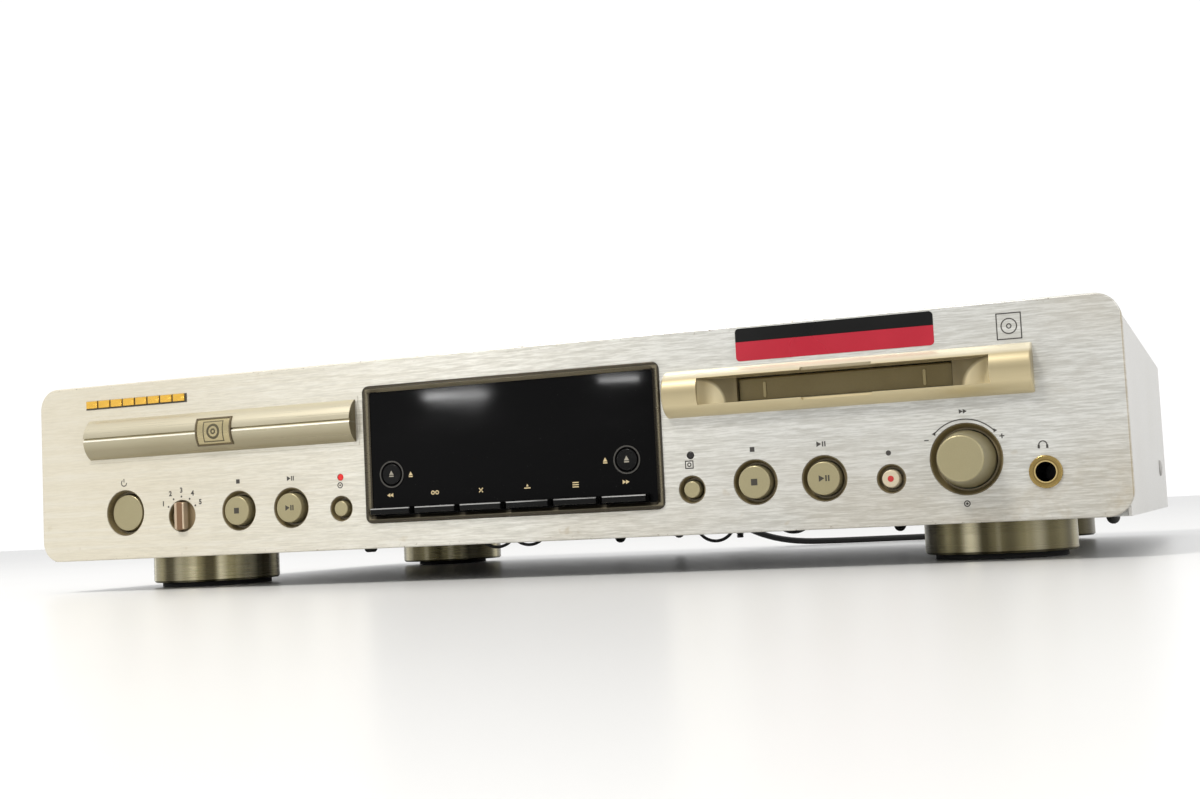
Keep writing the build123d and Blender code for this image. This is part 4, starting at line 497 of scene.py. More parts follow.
def rearSocket():    # black blocks with worn metal sleeves
    look = {"block": (0.02, 0.02, 0.02), "sleeve": (0.72, 0.66, 0.50), "sleeveDepth": 286.4}
    made = Finish("rearSocket", look["block"], 0.4)
    outside = made.behind(look["sleeveDepth"])
    grain = made.noise((900, 900, 900), 3.0)
    worn = made.mix(made.spread(grain, 0.4, 0.7) * 0.3, look["sleeve"], tone(look["sleeve"], 0.6))
    made.tint(outside, worn)
    made.give("Metallic", outside)
    made.give("Roughness", 0.42 - outside * 0.18)
    made.bump(grain, 0.2, 0.03)
    return made.material


champagne = {"colour": (0.50, 0.455, 0.325), "patina": (0.36, 0.31, 0.19), "roughness": 0.31,
             "metallic": 0.78, "grain": 0.12, "paintedHighlight": (0.66, 0.61, 0.475),
             "lip": (62.35, 62.95), "paintedGrooveHighlight": (0.86, 0.83, 0.73),
             "end": -65.75, "paintedEndShade": (0.135, 0.112, 0.062)}
paleGold = {"colour": (0.395, 0.333, 0.198), "patina": (0.37, 0.30, 0.165), "roughness": 0.40,
            "metallic": 0.46, "grain": 0.03, "pale": (0.88, 0.78, 0.52),
            "dark": (0.115, 0.09, 0.04), "low": (0.66, 0.565, 0.35), "paintedCrestHighlight": (0.80, 0.74, 0.58),
            "floor": 58.8, "rise": 9.3, "scoops": ((76.4, 7.6), (177.9, 10.5))}
zincLook = {"colour": (0.55, 0.55, 0.53), "patina": (0.42, 0.41, 0.37), "roughness": 0.36,
            "metallic": 0.95, "grain": 0.12}
buttonLook = {"colour": (0.385, 0.34, 0.20), "patina": (0.27, 0.23, 0.12), "roughness": 0.34,
              "metallic": 0.62}
paleLook = {"colour": (0.60, 0.53, 0.39), "patina": (0.46, 0.38, 0.25), "roughness": 0.38,
            "metallic": 0.3}
flapLook = {"colour": (0.205, 0.165, 0.075), "patina": (0.15, 0.115, 0.045), "roughness": 0.42,
            "metallic": 0.40, "rib": (0.40, 0.34, 0.18), "front": 6.1}
castLook = {"colour": (0.16, 0.16, 0.17), "patina": (0.10, 0.10, 0.10), "roughness": 0.45,
            "metallic": 0.8}
ironLook = {"colour": (0.09, 0.085, 0.08), "patina": (0.16, 0.10, 0.06), "roughness": 0.55,
            "metallic": 0.5}
finishes = {
    "plate": brushedPlate(),
    "frame": moulded("sleeveBrown", (0.150, 0.117, 0.056), 0.28, 1500, 0.02),
    "cover": coverPaint(),
    "chassis": satinMetal("zincSheet", zincLook),
    "panel": moulded("panelBlack", (0.022, 0.022, 0.022), 0.45, 1300, 0.06),
    "foot": turnedFoot(),
    "pad": moulded("padFelt", (0.012, 0.012, 0.012), 0.85, 1800, 0.15),
    "fastener": softMetal("screwSteel", castLook),
    "button": softMetal("buttonMetal", buttonLook),
    "pale_button": softMetal("recordCap", paleLook),
    "lamp": statusLamp(),
    "trim": displayTrim(),
    "window": darkWindow(),
    "tube": moulded("displayTube", (0.02, 0.035, 0.035), 0.12, 400, 0.01),
    "key": keyBlack(),
    "gold": goldSocket(),
    "bar": drawerBarFinish(champagne),
    "tray": moulded("trayPlastic", (0.020, 0.020, 0.022), 0.48, 1400, 0.05),
    "gear": moulded("gearIvory", (0.55, 0.53, 0.46), 0.42, 700, 0.03),
    "motor": satinMetal("motorCan", zincLook),
    "steel": satinMetal("brightSteel", zincLook),
    "chrome": satinMetal("guideRod", {**zincLook, "colour": (0.75, 0.75, 0.76), "roughness": 0.15}),
    "pickup": softMetal("castPickup", castLook),
    "bezel": bezelFinish(paleGold),
    "flap": flapFinish(flapLook),
    "board": circuitBoard("mainBoard", ("Z", 21.7, True)),
    "iron": softMetal("transformerIron", ironLook),
    "socket": rearSocket(),
    "cord": moulded("cordRubber", (0.014, 0.014, 0.014), 0.5, 1600, 0.04),
}
ownFinishes = {"front_board": circuitBoard("controlBoard", ("Y", frontY * 1000 + 19.9, False)),
               "mode_knob": gripKnob()}
for part in frame["record"]["subparts"]:
    finish = ownFinishes.get(part["node"], finishes[part["material_slot"]])
    for slot in cadNodes[part["node"]].material_slots:
        slot.material = finish
inks = {
    "dark": moulded("printInk", (0.035, 0.031, 0.027), 0.5, 1500, 0.005),
    "gold": softMetal("windowPrint", {"colour": (0.62, 0.50, 0.28), "patina": (0.5, 0.38, 0.2),
                                      "roughness": 0.4, "metallic": 0.3}),
    "symbol": moulded("buttonPrint", (0.035, 0.03, 0.02), 0.45, 1500, 0.005),
    "red": moulded("recordRed", (0.42, 0.02, 0.02), 0.4, 1500, 0.005),
    "stickerRed": moulded("stickerRed", (0.375, 0.006, 0.022), 0.3, 1200, 0.01),
    "stickerBlack": moulded("stickerBlack", (0.005, 0.005, 0.005), 0.3, 1200, 0.01,
                            {"Specular IOR Level": 0.2}),
    "softWhite": moulded("printWhite", (0.27, 0.25, 0.20), 0.45, 1200, 0.005),
    "brass": badgeFace(),
    "clip": moulded("clipNylon", (0.085, 0.086, 0.078), 0.35, 1300, 0.02),
    "wire": moulded("wireCoat", (0.008, 0.008, 0.008), 0.4, 1500, 0.02),
    "screwGrey": softMetal("screwGrey", {"colour": (0.50, 0.49, 0.47), "patina": (0.40, 0.37, 0.33),
                                         "roughness": 0.4, "metallic": 0.5}),
    "rim": softMetal("badgeRim", {"colour": (0.16, 0.13, 0.08), "patina": (0.10, 0.08, 0.05),
                                  "roughness": 0.35, "metallic": 0.8}),
    "nameGold": softMetal("nameGold", {"colour": (0.84, 0.50, 0.075), "patina": (0.60, 0.31, 0.045),
                                       "roughness": 0.26, "metallic": 0.6}),
    "insertWhite": moulded("insertWhite", (0.62, 0.62, 0.58), 0.4, 900, 0.02),
    "insertRed": moulded("insertRed", (0.5, 0.03, 0.03), 0.4, 900, 0.02),
    "blade": satinMetal("plugBlade", {**zincLook, "colour": (0.72, 0.66, 0.48)}),
}
print("finishes made")


# Modelling helpers
ways = {"front": (Vector((0, -1, 0)), (math.pi / 2, 0, 0)),
        "back": (Vector((0, 1, 0)), (-math.pi / 2, 0, 0)),
        "down": (Vector((0, 0, -1)), (math.pi, 0, 0)),
        "right": (Vector((1, 0, 0)), (0, math.pi / 2, 0)),
        "left": (Vector((-1, 0, 0)), (0, -math.pi / 2, 0))}


def freshStart():
    bpy.ops.object.select_all(action="DESELECT")


def take(piece):
    freshStart()
    piece.select_set(True)
    bpy.context.view_layer.objects.active = piece


def editing(piece, selectAll=True):
    take(piece)
    bpy.ops.object.mode_set(mode="EDIT")
    bpy.ops.mesh.select_mode(type="FACE")
    bpy.ops.mesh.select_all(action="SELECT" if selectAll else "DESELECT")


def leave():
    bpy.ops.object.mode_set(mode="OBJECT")


def applied():    # writes an object's place and turn into its mesh
    bpy.ops.object.transform_apply(location=True, rotation=True, scale=True)


def disc(sides, radius, place, turn):
    freshStart()
    bpy.ops.mesh.primitive_circle_add(vertices=sides, radius=radius / 1000, fill_type="NGON",
                                      location=place, rotation=turn)
    return bpy.context.object


def pickFaces(piece, wanted):    # wanted takes a face's middle and normal
    mesh = bmesh.from_edit_mesh(piece.data)
    for face in mesh.faces:
        face.select_set(wanted(face.calc_center_median(), face.normal))
    mesh.select_flush_mode()
    bmesh.update_edit_mesh(piece.data)


def tidyMesh():    # cleans the piece that is being edited and leaves edit mode
    bpy.ops.mesh.select_all(action="SELECT")
    bpy.ops.mesh.remove_doubles(threshold=0.000002)
    bpy.ops.mesh.normals_make_consistent(inside=False)
    leave()


def stepped(radius, shares):    # shares of the radius, each with its distance
    return [(radius * share, run) for share, run in shares]


def turned(name, middle, toward, steps, sides=64):    # steps: radius and distance, in millimetres
    way, turn = ways[toward]
    radius, run = steps[0]
    here = middle + way * run / 1000
    piece = disc(sides, radius, here, turn)
    piece.name = name
    editing(piece)
    for nextRadius, nextRun in steps[1:]:
        move = way * (nextRun - run) / 1000
        bpy.ops.mesh.extrude_region_move(TRANSFORM_OT_translate={"value": move})
        here = here + move
        if nextRadius != radius:
            size = nextRadius / radius
            bpy.ops.transform.resize(value=[1.0 if abs(part) > 0.5 else size for part in way],
                                     center_override=here)
        radius, run = nextRadius, nextRun
    tidyMesh()
    return piece


def block(name, middle, size, bevel=0.0, segments=2):    # size in millimetres
    freshStart()
    bpy.ops.mesh.primitive_cube_add(size=1, location=middle, scale=[part / 1000 for part in size])
    piece = bpy.context.object
    piece.name = name
    applied()
    if bevel:
        shaped(piece, "BEVEL", {"width": bevel / 1000, "segments": segments})
    return piece


def shaped(piece, kind, settings):    # adds a modifier and applies it
    take(piece)
    modifier = piece.modifiers.new(kind.lower(), kind)
    for setting, value in settings.items():
        setattr(modifier, setting, value)
    bpy.ops.object.modifier_apply(modifier=modifier.name)


def softened(piece, width, segments, angle):    # bevels the edges sharper than angle, width in mm
    shaped(piece, "BEVEL", {"width": width / 1000, "segments": segments,
                            "limit_method": "ANGLE", "angle_limit": math.radians(angle)})


def joined(pieces, name):
    freshStart()
    for piece in pieces:
        piece.select_set(True)
    bpy.context.view_layer.objects.active = pieces[0]
    if len(pieces) > 1:
        bpy.ops.object.join()
    piece = bpy.context.object
    piece.name = name
    return piece


def settle(piece, body, finish=None, replaced=(), smooth=35):
    take(piece)
    applied()
    if finish:
        piece.data.materials.clear()
        piece.data.materials.append(finish)
    if smooth:
        bpy.ops.object.shade_smooth_by_angle(angle=math.radians(smooth))
    if replaced:
        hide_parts(*replaced)
    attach(piece, body)
    return piece


# Mains lead: relief, cord and plug
lead = {"diameter": 3.5, "length": 1.467, "middle": (122.0, 334.0), "pitch": 4.0, "inner": 11.0,
        "turnsIn": 4.75, "turnsOut": 4.5, "pointsPerTurn": 16, "low": 1.75, "high": 5.75}
leadRun = [(-28, 308.2, 26), (-28, 321.2, 26), (-24, 335, 20.5), (-15, 343, 12), (-2, 348, 5.6),
           (14, 352, 2.2), (33, 355.5, 1.75), (56, 357, 1.75), (78, 361, 1.75), (99, 364, 1.75),
           (118.5, 364, 1.75)]
tailRun = [(93, 337.5, 5.75), (93, 350, 5.75), (93, 362, 6.2), (98, 373.5, 7), (107, 381.5, 7.9),
           (117.5, 384.5, 8.5), (127, 384.5, 8.5)]


def coilSpot(turned):    # a point of the wound part after a number of turns
    outer = lead["inner"] + lead["pitch"] * lead["turnsIn"]
    if turned <= lead["turnsIn"]:
        radius, height = outer - lead["pitch"] * turned, lead["low"]
    elif turned <= lead["turnsIn"] + 0.5:
        climb = (turned - lead["turnsIn"]) * 2 * math.pi
        radius = lead["inner"] - lead["pitch"] / 4 * math.sin(climb)
        height = lead["low"] + (lead["high"] - lead["low"]) * (1 - math.cos(climb)) / 2
    else:
        radius = lead["inner"] + lead["pitch"] * (turned - lead["turnsIn"] - 0.5)
        height = lead["high"]
    angle = math.pi / 2 - 2 * math.pi * turned
    middleX, middleDepth = lead["middle"]
    return (middleX + radius * math.cos(angle), middleDepth + radius * math.sin(angle), height)


allTurns = lead["turnsIn"] + 0.5 + lead["turnsOut"]
coilSteps = round(allTurns * lead["pointsPerTurn"])
route = leadRun + [coilSpot(step * allTurns / coilSteps) for step in range(coilSteps + 1)] + tailRun
cordCurve = bpy.data.curves.new("mainsCord", "CURVE")
cordCurve.dimensions = "3D"
cordCurve.bevel_depth = lead["diameter"] / 2000
cordCurve.bevel_resolution = 3
cordCurve.resolution_u = 4
line = cordCurve.splines.new("NURBS")
line.points.add(len(route) - 1)
for point, place in zip(line.points, route):
    point.co = (*spot(*place), 1.0)
line.order_u = 3
line.use_endpoint_u = True
mainsCord = bpy.data.objects.new("mainsCord", cordCurve)
bpy.context.collection.objects.link(mainsCord)
cordCurve.materials.append(finishes["cord"])
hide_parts("mains_lead", "lead_coil")
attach(mainsCord, "case")

relief = {"start": -2.8, "flange": 7.0, "neck": 5.1, "tip": 2.7, "length": 24.0, "ribs": 6}
reliefSteps = [(relief["flange"], relief["start"]), (relief["flange"], -1.2),
               (relief["neck"], -1.2), (relief["neck"], 1.5)]
ribRun = (relief["length"] - 5.0) / relief["ribs"]
for rib in range(relief["ribs"]):
    run = 1.5 + rib * ribRun
    radius = relief["neck"] + (relief["tip"] - relief["neck"]) * run / relief["length"]
    reliefSteps += [(radius, run + 0.2), (radius - 0.9, run + 0.5), (radius - 1.0, run + 1.3),
                    (radius - 0.3, run + 1.7)]
reliefSteps += [(relief["tip"] + 0.2, 21.5), (relief["tip"], 23.4), (relief["tip"] - 0.4, 24.0)]
reliefSleeve = turned("reliefSleeve", spot(-28, 284.2, 26), "back", reliefSteps, 40)
settle(reliefSleeve, "case", finishes["cord"], ["lead_relief"])

plug = {"start": 127.0, "depth": 384.5, "z": 8.5, "length": 24.0, "width": 24.0, "height": 17.0,
        "blade": (16.0, 1.5, 6.3), "bladeApart": 12.7}
plugEnd = spot(plug["start"], plug["depth"], plug["z"])
plugShell = block("plugShell", spot(plug["start"] + plug["length"] / 2, plug["depth"], plug["z"]),
                  (plug["length"], plug["width"], plug["height"]))
editing(plugShell, False)
pickFaces(plugShell, lambda middle, normal: normal.x < -0.9)
bpy.ops.transform.resize(value=(1, 0.62, 0.66), center_override=plugEnd)
bpy.ops.mesh.select_all(action="SELECT")
bpy.ops.mesh.subdivide(number_cuts=9, smoothness=0.0)
grooves = [plug["start"] + offset for offset in (5.2, 9.9, 14.5)]
pickFaces(plugShell, lambda middle, normal: abs(normal.x) < 0.4
          and any(abs(middle.x * 1000 - groove) < 1.3 for groove in grooves))
bpy.ops.mesh.inset(thickness=0.0003, use_even_offset=True)
bpy.ops.transform.resize(value=(1, 0.94, 0.93), center_override=plugEnd)
tidyMesh()
softened(plugShell, 1.2, 3, 50)
plugShell.data.materials.append(finishes["cord"])
blades = []
for side in (-1, 1):
    length, thick, tall = plug["blade"]
    blade = block("plugBlade", spot(plug["start"] + plug["length"] + length / 2,
                                    plug["depth"] + side * plug["bladeApart"] / 2, plug["z"]),
                  (length, thick, tall), 0.5)
    blade.data.materials.append(inks["blade"])
    blades.append(blade)
plugBody = joined([plugShell] + blades, "plugBody")
settle(plugBody, "case", None, ["mains_plug"])
spot(*leadRun[0])
print("mains lead made:", len(route), "points")


# Screws, board clips and the wires below the floor
screws = {"radius": 3.6, "slot": (3.6, 0.9, 0.9), "sideRise": 1.05, "rearRise": 1.7}
clips = {"radius": 3.4, "drop": 4.8,
         "places": ((106.0, 191.0), (-34.0, 196.0), (202.0, 155.0), (-29.0, 270.0))}
cap = {"place": (-96.0, 60.0), "radius": 2.8, "drop": 2.2}
looseWires = {"thick": 0.62, "cut": 13.2, "lean": 8,
              "loops": ((59.6, 60.0, 17.3, 7.7), (88.6, 70.0, 19.8, 8.2),
                        (-35.6, 60.0, 19.3, 8.5), (-21.0, 60.0, 19.5, 8.3))}
floorLevel = 13.1    # just inside the case's underside
tie = {"place": (69.5, 60.0), "radius": 1.35, "turns": 4, "pitch": 0.62, "top": 13.0}


def crossHead(name, middle, toward, rise):
    way = ways[toward][0]
    head = turned(name, middle, toward, stepped(screws["radius"], (
        (0.97, 0), (1.0, rise * 0.2), (0.93, rise * 0.7), (0.7, rise), (0.35, rise * 1.05))), 32)
    long, thin, deep = screws["slot"]
    for wide, tall in ((thin, long), (long, thin)):
        size = (wide, deep, tall) if toward == "back" else (deep, wide, tall)
        cutter = block("slotCutter", middle + way * rise / 1000, size)
        shaped(head, "BOOLEAN", {"object": cutter, "operation": "DIFFERENCE", "solver": "EXACT"})
        bpy.data.objects.remove(cutter)
    return head


heads = [crossHead("screwHead", spot(x, 224.0, 31.3), toward, screws["sideRise"])
         for x, toward in ((-218.5, "left"), (218.5, "right"))]
heads += [crossHead("screwHead", spot(x, 284.2, 76.2), "back", screws["rearRise"])
          for x in (-200.0, 0.0, 200.0)]
caseScrews = joined(heads, "caseScrews")
settle(caseScrews, "case", inks["screwGrey"], ["case_screws"])
clipSteps = stepped(clips["radius"], ((1, 0), (1, 1.0), (0.84, 1.4), (0.80, 2.6), (0.70, 3.5),
                                      (0.5, clips["drop"] - 0.5), (0.2, clips["drop"])))
clipHeads = [turned("clipHead", spot(x, depth, floorLevel), "down", clipSteps, 24)
             for x, depth in clips["places"]]
capSteps = stepped(cap["radius"], ((1, 0), (0.95, cap["drop"] * 0.6), (0.75, cap["drop"] * 0.9),
                                   (0.6, cap["drop"])))
clipHeads.append(turned("floorCap", spot(*cap["place"], floorLevel), "down", capSteps, 24))
boardClips = joined(clipHeads, "boardClips")
settle(boardClips, "case", inks["clip"])

wireLoops = []
for x, depth, z, radius in looseWires["loops"]:    # each hangs down from the floor and goes back in
    freshStart()
    bpy.ops.mesh.primitive_torus_add(
        location=spot(x, depth, z), rotation=(math.pi / 2, 0, math.radians(looseWires["lean"])),
        major_segments=72, minor_segments=10, major_radius=radius / 1000,
        minor_radius=looseWires["thick"] / 1000)
    wireLoop = bpy.context.object
    applied()
    editing(wireLoop)
    bpy.ops.mesh.bisect(plane_co=(0, 0, looseWires["cut"] / 1000), plane_no=(0, 0, 1),
                        use_fill=True, clear_outer=True)
    tidyMesh()
    wireLoops.append(wireLoop)
tieSteps = stepped(tie["radius"], ((0.75, 0), (1, 0.12), (1, 0.42), (0.75, 0.56),
                                   (0.7, tie["pitch"] + 0.02)))
for turn in range(tie["turns"]):
    level = tie["top"] - tie["pitch"] * turn
    wireLoops.append(turned("tieRing", spot(*tie["place"], level), "down", tieSteps, 20))
settle(joined(wireLoops, "floorWires"), "case", inks["wire"])
print("fasteners made")


# Printed marks and symbols: thin raised shapes. Depth is 0 on the plate, and places are X and Z
marks = {"thick": 0.05, "stroke": 0.38, "bolder": 0.10, "onWindow": 0.5}


def barMark(x, z, width, height=marks["stroke"], depth=0.0, lean=0.0):
    piece = block("bar", spot(x, depth - marks["thick"] / 2, z), (width, marks["thick"], height))
    if lean:
        lay(piece, lean, spot(x, depth, z))
    return piece


def lay(piece, angle, centre):    # turns a mark about its own middle
    editing(piece)
    bpy.ops.transform.rotate(value=math.radians(angle), orient_axis="Y", center_override=centre)
    leave()


def dotMark(x, z, radius, depth=0.0, sides=24):
    return turned("dot", spot(x, depth, z), "front", [(radius, 0), (radius, marks["thick"])], sides)


def arrowMark(x, z, size, direction, depth=0.0):    # a triangle that points right, left or up
    piece = dotMark(x, z, size, depth, 3)
    lay(piece, {"up": 0, "right": -90, "left": 90}[direction], spot(x, depth, z))
    return piece


def ringMark(x, z, radius, depth=0.0, start=0, end=360, sides=48):
    piece = disc(sides, radius, spot(x, depth - marks["thick"], z), ways["front"][1])
    editing(piece)
    bpy.ops.mesh.inset(thickness=marks["stroke"] / 1000)
    bpy.ops.mesh.delete(type="FACE")
    leave()
    applied()
    if (start, end) != (0, 360):
        editing(piece, False)
        centre = spot(x, depth, z)

        def outside(middle, normal):
            angle = math.degrees(math.atan2(middle.z - centre.z, middle.x - centre.x)) % 360
            return not start <= angle <= end
        pickFaces(piece, outside)
        bpy.ops.mesh.delete(type="FACE")
        leave()
    shaped(piece, "SOLIDIFY", {"thickness": marks["thick"] / 1000, "offset": -1.0})
    editing(piece)
    tidyMesh()
    return piece


def playMark(x, z, size=1.0, depth=0.0):
    return [arrowMark(x - 0.9 * size, z, 1.25 * size, "right", depth),
            barMark(x + 0.9 * size, z, 0.5 * size, 2.0 * size, depth),
            barMark(x + 1.8 * size, z, 0.5 * size, 2.0 * size, depth)]


def ejectMark(x, z, size, depth):
    return [arrowMark(x, z + 0.35 * size, 1.25 * size, "up", depth),
            barMark(x, z - 0.85 * size, 2.1 * size, 0.5 * size, depth)]


def skipMark(x, z, direction, depth=0.0):
    return [arrowMark(x - 0.6, z, 0.9, direction, depth),
            arrowMark(x + 0.7, z, 0.9, direction, depth)]


def numberMark(text, x, z, size):
    freshStart()
    bpy.ops.object.text_add(location=spot(x, 0.0, z), rotation=(math.pi / 2, 0, 0))
    letters = bpy.context.object.data
    letters.body = text
    letters.size = size / 1000
    letters.align_x = letters.align_y = "CENTER"
    letters.extrude = marks["thick"] / 1000
    letters.offset = marks["bolder"] / 1000
    letters.resolution_u = 3
    bpy.ops.object.convert(target="MESH")
    return bpy.context.object


stroke, onWindow = marks["stroke"], marks["onWindow"]
plateMarks = [ringMark(-177.2, 44.6, 1.5, 0.0, 125), barMark(-177.2, 45.6, stroke, 1.5)]
modeScale = {"middle": (-148.5, 29.7), "outward": (0.38, 0.32), "size": 2.8, "dots": (
    (-155.1, 33.7), (-152.5, 36.7), (-148.6, 37.6), (-144.6, 36.5), (-141.9, 33.7))}
for number, (x, z) in enumerate(modeScale["dots"]):
    plateMarks.append(dotMark(x, z, 0.4, sides=16))
    outX = x + (x - modeScale["middle"][0]) * modeScale["outward"][0]
    outZ = z + (z - modeScale["middle"][1]) * modeScale["outward"][1]
    plateMarks.append(numberMark(str(number + 1), outX, outZ, modeScale["size"]))
for x, z in ((-121.0, 42.3), (93.9, 42.1)):
    plateMarks.append(barMark(x, z, 1.7, 1.7))
for x, z in ((-96.5, 42.2), (118.4, 42.5)):
    plateMarks += playMark(x, z, 0.9)
plateMarks += [ringMark(-73.6, 38.3, 1.2), dotMark(-73.6, 38.3, 0.35, sides=16),
               ringMark(70.4, 38.1, 0.8), barMark(70.4, 39.4, 2.9), barMark(70.4, 36.8, 2.9),
               barMark(69.0, 38.1, stroke, 2.8), barMark(71.8, 38.1, stroke, 2.8),
               dotMark(141.8, 38.0, 0.9)]
plateMarks += skipMark(167.3, 50.4, "right")
plateMarks += [ringMark(167.5, 34.45, 13.5, 0.0, 42, 138, 96),
               arrowMark(157.6, 43.4, 0.8, "left"), arrowMark(177.6, 43.4, 0.8, "right"),
               barMark(154.9, 41.4, 1.5), barMark(179.8, 41.4, 1.6),
               barMark(179.8, 41.4, stroke, 1.6)]
plateMarks += [ringMark(167.1, 19.6, 1.1), dotMark(167.1, 19.6, 0.45, sides=16)]
plateMarks += [ringMark(192.7, 37.6, 1.5, 0.0, 0, 180), barMark(191.35, 37.1, 0.7, 1.2),
               barMark(194.05, 37.1, 0.7, 1.2)]
boxX, boxZ = 184.4, 77.6
plateMarks += [barMark(boxX, boxZ + 4.3, 8.2), barMark(boxX, boxZ - 4.3, 8.2),
               barMark(boxX - 3.95, boxZ, stroke, 8.6), barMark(boxX + 3.95, boxZ, stroke, 8.6),
               ringMark(boxX, boxZ, 2.7), ringMark(boxX, boxZ, 0.9)]
settle(joined(plateMarks, "plateMarks"), "case", inks["dark"], smooth=0)

windowMarks = ejectMark(-42.5, 40.7, 0.8, onWindow) + ejectMark(38.0, 41.3, 0.8, onWindow)
windowMarks += skipMark(-51.6, 33.3, "left", onWindow) + skipMark(45.5, 33.3, "right", onWindow)
windowMarks += [ringMark(x, 33.4, 0.8, onWindow) for x in (-33.2, -31.4)]
windowMarks += [barMark(-12.8, 33.3, 2.3, stroke, onWindow, lean) for lean in (45, -45)]
windowMarks += [barMark(6.4, 33.1, 2.6, stroke, onWindow),
                arrowMark(6.4, 34.0, 0.6, "up", onWindow)]
windowMarks += [barMark(25.9, 33.3 + shift, 2.5, stroke, onWindow) for shift in (-0.8, 0.0, 0.8)]
settle(joined(windowMarks, "windowMarks"), "case", inks["gold"], smooth=0)

buttonMarks = {    # on each button's face, with its ink
    "cd_stop_button": ([barMark(-120.9, 30.6, 2.3, 2.3, -1.7)], "symbol"),
    "md_stop_button": ([barMark(94.5, 30.6, 2.3, 2.3, -1.7)], "symbol"),
    "cd_play_button": (playMark(-96.3, 30.6, 1.05, -1.7), "symbol"),
    "md_play_button": (playMark(119.2, 30.6, 1.05, -1.7), "symbol"),
    "record_button": ([dotMark(142.3, 29.2, 1.05, -1.2)], "red"),
    "drawer_button": (ejectMark(-50.7, 41.3, 0.9, 0.1), "softWhite"),
    "eject_button": (ejectMark(46.5, 41.3, 0.9, 0.1), "softWhite"),
}
for body, (shapes, ink) in buttonMarks.items():
    words = body.split("_")
    settle(joined(shapes, words[0] + words[1].capitalize() + "Mark"), body, inks[ink],
           smooth=0)
print("marks made")


# Plates and labels on the front, with nothing written on them
nameBar = {"x": -170.4, "z": 78.2, "width": 50.4, "height": 3.0, "proud": 0.7, "blocks": 8,
           "gap": 0.7}
blockRun = nameBar["width"] / nameBar["blocks"]
nameBlocks = []
for index in range(nameBar["blocks"]):
    x = nameBar["x"] + (index - (nameBar["blocks"] - 1) / 2) * blockRun
    nameBlocks.append(block("nameBlock", spot(x, -nameBar["proud"] / 2, nameBar["z"]),
                            (blockRun - nameBar["gap"], nameBar["proud"], nameBar["height"]), 0.2))
settle(joined(nameBlocks, "nameBlocks"), "case", inks["nameGold"])
# painted shadow: a dark plate offset down and right behind the gold name blocks
paintedNameShadow = block("paintedNameShadow", spot(nameBar["x"] + 0.3, -0.1, nameBar["z"] - 0.25),
                 (nameBar["width"] + 0.6, 0.2, nameBar["height"] + 0.7), 0.08)
settle(paintedNameShadow, "case", inks["symbol"])

film = {"left": 89.9, "right": 159.6, "low": 73.4, "high": 85.0, "split": 80.2, "thick": 0.12,
        "corner": 1.4}


def filmStrip(name, low, high, ink, outerUp):    # a strip with its two outer corners rounded
    middle = spot((film["left"] + film["right"]) / 2, -film["thick"] / 2, (low + high) / 2)
    strip = block(name, middle, (film["right"] - film["left"], film["thick"], high - low))
    editing(strip, False)
    bpy.ops.mesh.select_mode(type="EDGE")
    mesh = bmesh.from_edit_mesh(strip.data)
    edgeHeight = (high if outerUp else low) / 1000
    for edge in mesh.edges:
        ends = [vertex.co for vertex in edge.verts]
        edge.select_set(abs(ends[0].y - ends[1].y) > 0.00005
                        and abs(ends[0].z - edgeHeight) < 0.0001)
    bmesh.update_edit_mesh(strip.data)
    bpy.ops.mesh.bevel(offset=film["corner"] / 1000, segments=6)
    leave()
    softened(strip, 0.04, 1, 60)
    settle(strip, "case", inks[ink])


filmStrip("redFilm", film["low"], film["split"], "stickerRed", False)
filmStrip("blackFilm", film["split"], film["high"], "stickerBlack", True)

lip = {"x": (-194.9, -64.3), "depth": (-0.28, -0.06), "z": (53.5, 72.7), "border": 1.6}
lipSpan = [lip[axis] for axis in ("x", "depth", "z")]
drawerLip = block("drawerLip", spot(*[(low + high) / 2 for low, high in lipSpan]),
                  [high - low for low, high in lipSpan])
editing(drawerLip, False)
pickFaces(drawerLip, lambda middle, normal: abs(normal.y) > 0.9)
bpy.ops.mesh.inset(thickness=lip["border"] / 1000)
bpy.ops.mesh.bridge_edge_loops()
leave()
softened(drawerLip, 0.06, 1, 60)
settle(drawerLip, "tray", finishes["plate"])

badge = {"x": -128.7, "z": 62.85, "width": 17.0, "height": 11.4, "radius": 10.06,
         "front": -5.5, "back": -2.4, "axisHeight": 63.1, "rim": 0.7, "sunk": 0.3}
badgeAxis = spot(badge["x"], badge["front"] + badge["radius"], badge["axisHeight"])
freshStart()
bpy.ops.mesh.primitive_cylinder_add(
    vertices=160, radius=badge["radius"] / 1000, depth=badge["width"] / 1000,
    location=badgeAxis, rotation=(0, math.pi / 2, 0))
drawerBadge = bpy.context.object
applied()
cuts = [(spot(0, badge["back"], 0), (0, 1, 0)),
        (spot(0, 0, badge["z"] + badge["height"] / 2), (0, 0, 1)),
        (spot(0, 0, badge["z"] - badge["height"] / 2), (0, 0, -1))]
for point, normal in cuts:
    editing(drawerBadge)
    bpy.ops.mesh.bisect(plane_co=point, plane_no=normal, use_fill=True, clear_outer=True)
    leave()
editing(drawerBadge, False)
pickFaces(drawerBadge, lambda middle, normal: normal.y < -0.5)
bpy.ops.mesh.inset(thickness=badge["rim"] / 1000)
bpy.ops.mesh.extrude_region_move(TRANSFORM_OT_translate={"value": (0, badge["sunk"] / 1000, 0)})
tidyMesh()
drawerBadge.name = "drawerBadge"
drawerBadge.data.materials.append(inks["rim"])
drawerBadge.data.materials.append(inks["brass"])
halfWidth = badge["width"] / 2 - badge["rim"] - 0.05
halfHeight = badge["height"] / 2 - badge["rim"] * 0.8
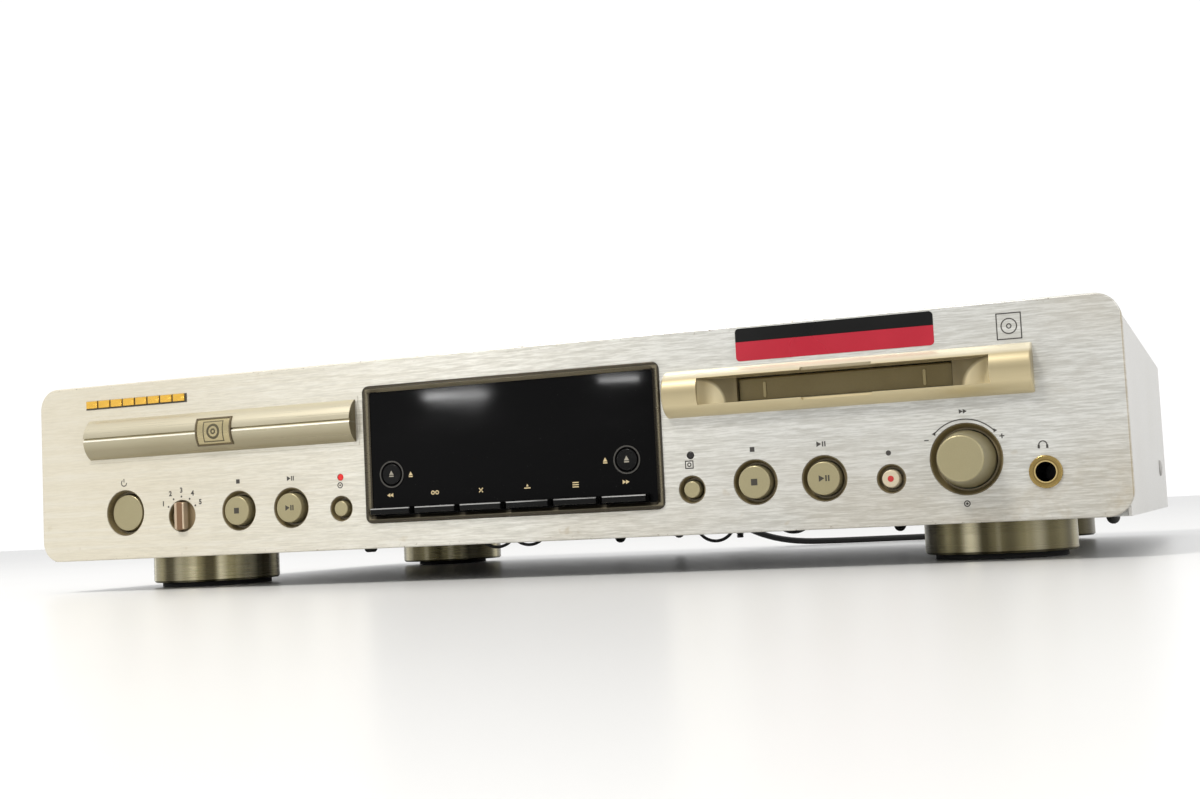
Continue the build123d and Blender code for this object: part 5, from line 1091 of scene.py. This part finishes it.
for polygon in drawerBadge.data.polygons:
    aside, above = polygon.center.x * 1000 - badge["x"], polygon.center.z * 1000 - badge["z"]
    if polygon.normal.y < -0.5 and abs(aside) < halfWidth and abs(above) < halfHeight:
        polygon.material_index = 1
settle(drawerBadge, "tray")
print("plates and labels made")


# Rear: coloured rings in the round sockets
insert = {"outer": 3.9, "inner": 1.75, "reach": 9.35, "first": 62.0, "pitch": 18.0, "columns": 4}
insertSteps = [(insert["outer"], 8.6), (insert["outer"], insert["reach"]),
               (insert["inner"], insert["reach"]), (insert["inner"], 8.7)]
for row, z, ink in ((1, 52.0, "insertWhite"), (2, 34.0, "insertRed")):
    rings = [turned("insert", spot(insert["first"] + insert["pitch"] * column, 286.2, z), "back",
                    insertSteps, 32) for column in range(insert["columns"])]
    settle(joined(rings, "socketInserts%d" % row), "case", inks[ink])
print("rear made")


# Studio
studio = {"floor": (0.70, 0.70, 0.695), "backdrop": 1.06, "front": 0.84, "dip": 0.36}
freshStart()
bpy.ops.mesh.primitive_plane_add(size=14, location=(0, 0, -0.0002))
floor = bpy.context.object
floor.name = "studioFloor"
floorFinish = Finish("studioFloor", studio["floor"], 0.28)
floorClouds = floorFinish.noise((3, 3, 3), 4.0)
floorFinish.tint(floorFinish.spread(floorClouds, 0.4, 0.7) * 0.12, tone(studio["floor"], 0.8))
floor.data.materials.append(floorFinish.material)
world = bpy.data.worlds.new("studioWorld")
bpy.context.scene.world = world
world.use_nodes = True
sky = Nodes(world.node_tree)
facing = sky.add("ShaderNodeTexCoord", {}, {}, "Generated")
across, along = [sky.add("ShaderNodeSeparateXYZ", {}, {0: facing}, axis) for axis in ("X", "Y")]
# a dimmer patch straight ahead, where a camera stands, and white behind
patch = sky.spread(abs(across + 0.25), 0.03, 0.22, studio["dip"], studio["front"])
background = sky.tree.nodes["Background"]
sky.plug(background.inputs["Strength"], sky.spread(along, 0.0, 0.4, patch, studio["backdrop"]))
background.inputs["Color"].default_value = (1.0, 1.0, 1.0, 1.0)
lights = {    # the two strips show as glints along the window's top
    "keyLight": {"place": (-0.40, -1.15, 1.40), "aim": (0, -0.1, 0.05), "size": (0.40, 0.40),
                 "power": 22, "colour": (1.0, 0.97, 0.92)},
    "fillLight": {"place": (1.4, -1.2, 0.7), "aim": (0, 0, 0.05), "size": (1.0, 1.0),
                  "power": 3, "colour": (0.95, 0.97, 1.0)},
    "leftStrip": {"place": (-0.381, -0.841, 0.1347), "aim": (-0.022, -0.141, 0.070),
                  "size": (0.054, 0.0042), "power": 0.13, "colour": (1.0, 1.0, 1.0)},
    "rightStrip": {"place": (-0.226, -0.841, 0.1375), "aim": (0.045, -0.141, 0.071),
                   "size": (0.034, 0.0048), "power": 0.042, "colour": (1.0, 1.0, 1.0)},
}
for name, setup in lights.items():
    lightData = bpy.data.lights.new(name, "AREA")
    lightData.shape = "RECTANGLE"
    lightData.size, lightData.size_y = setup["size"]
    lightData.energy = setup["power"]
    lightData.color = setup["colour"]
    light = bpy.data.objects.new(name, lightData)
    light.location = setup["place"]
    light.visible_camera = False
    aim = Vector(setup["aim"]) - Vector(setup["place"])
    light.rotation_euler = aim.to_track_quat("-Z", "Y").to_euler()
    bpy.context.collection.objects.link(light)
print("studio set")

freshStart()
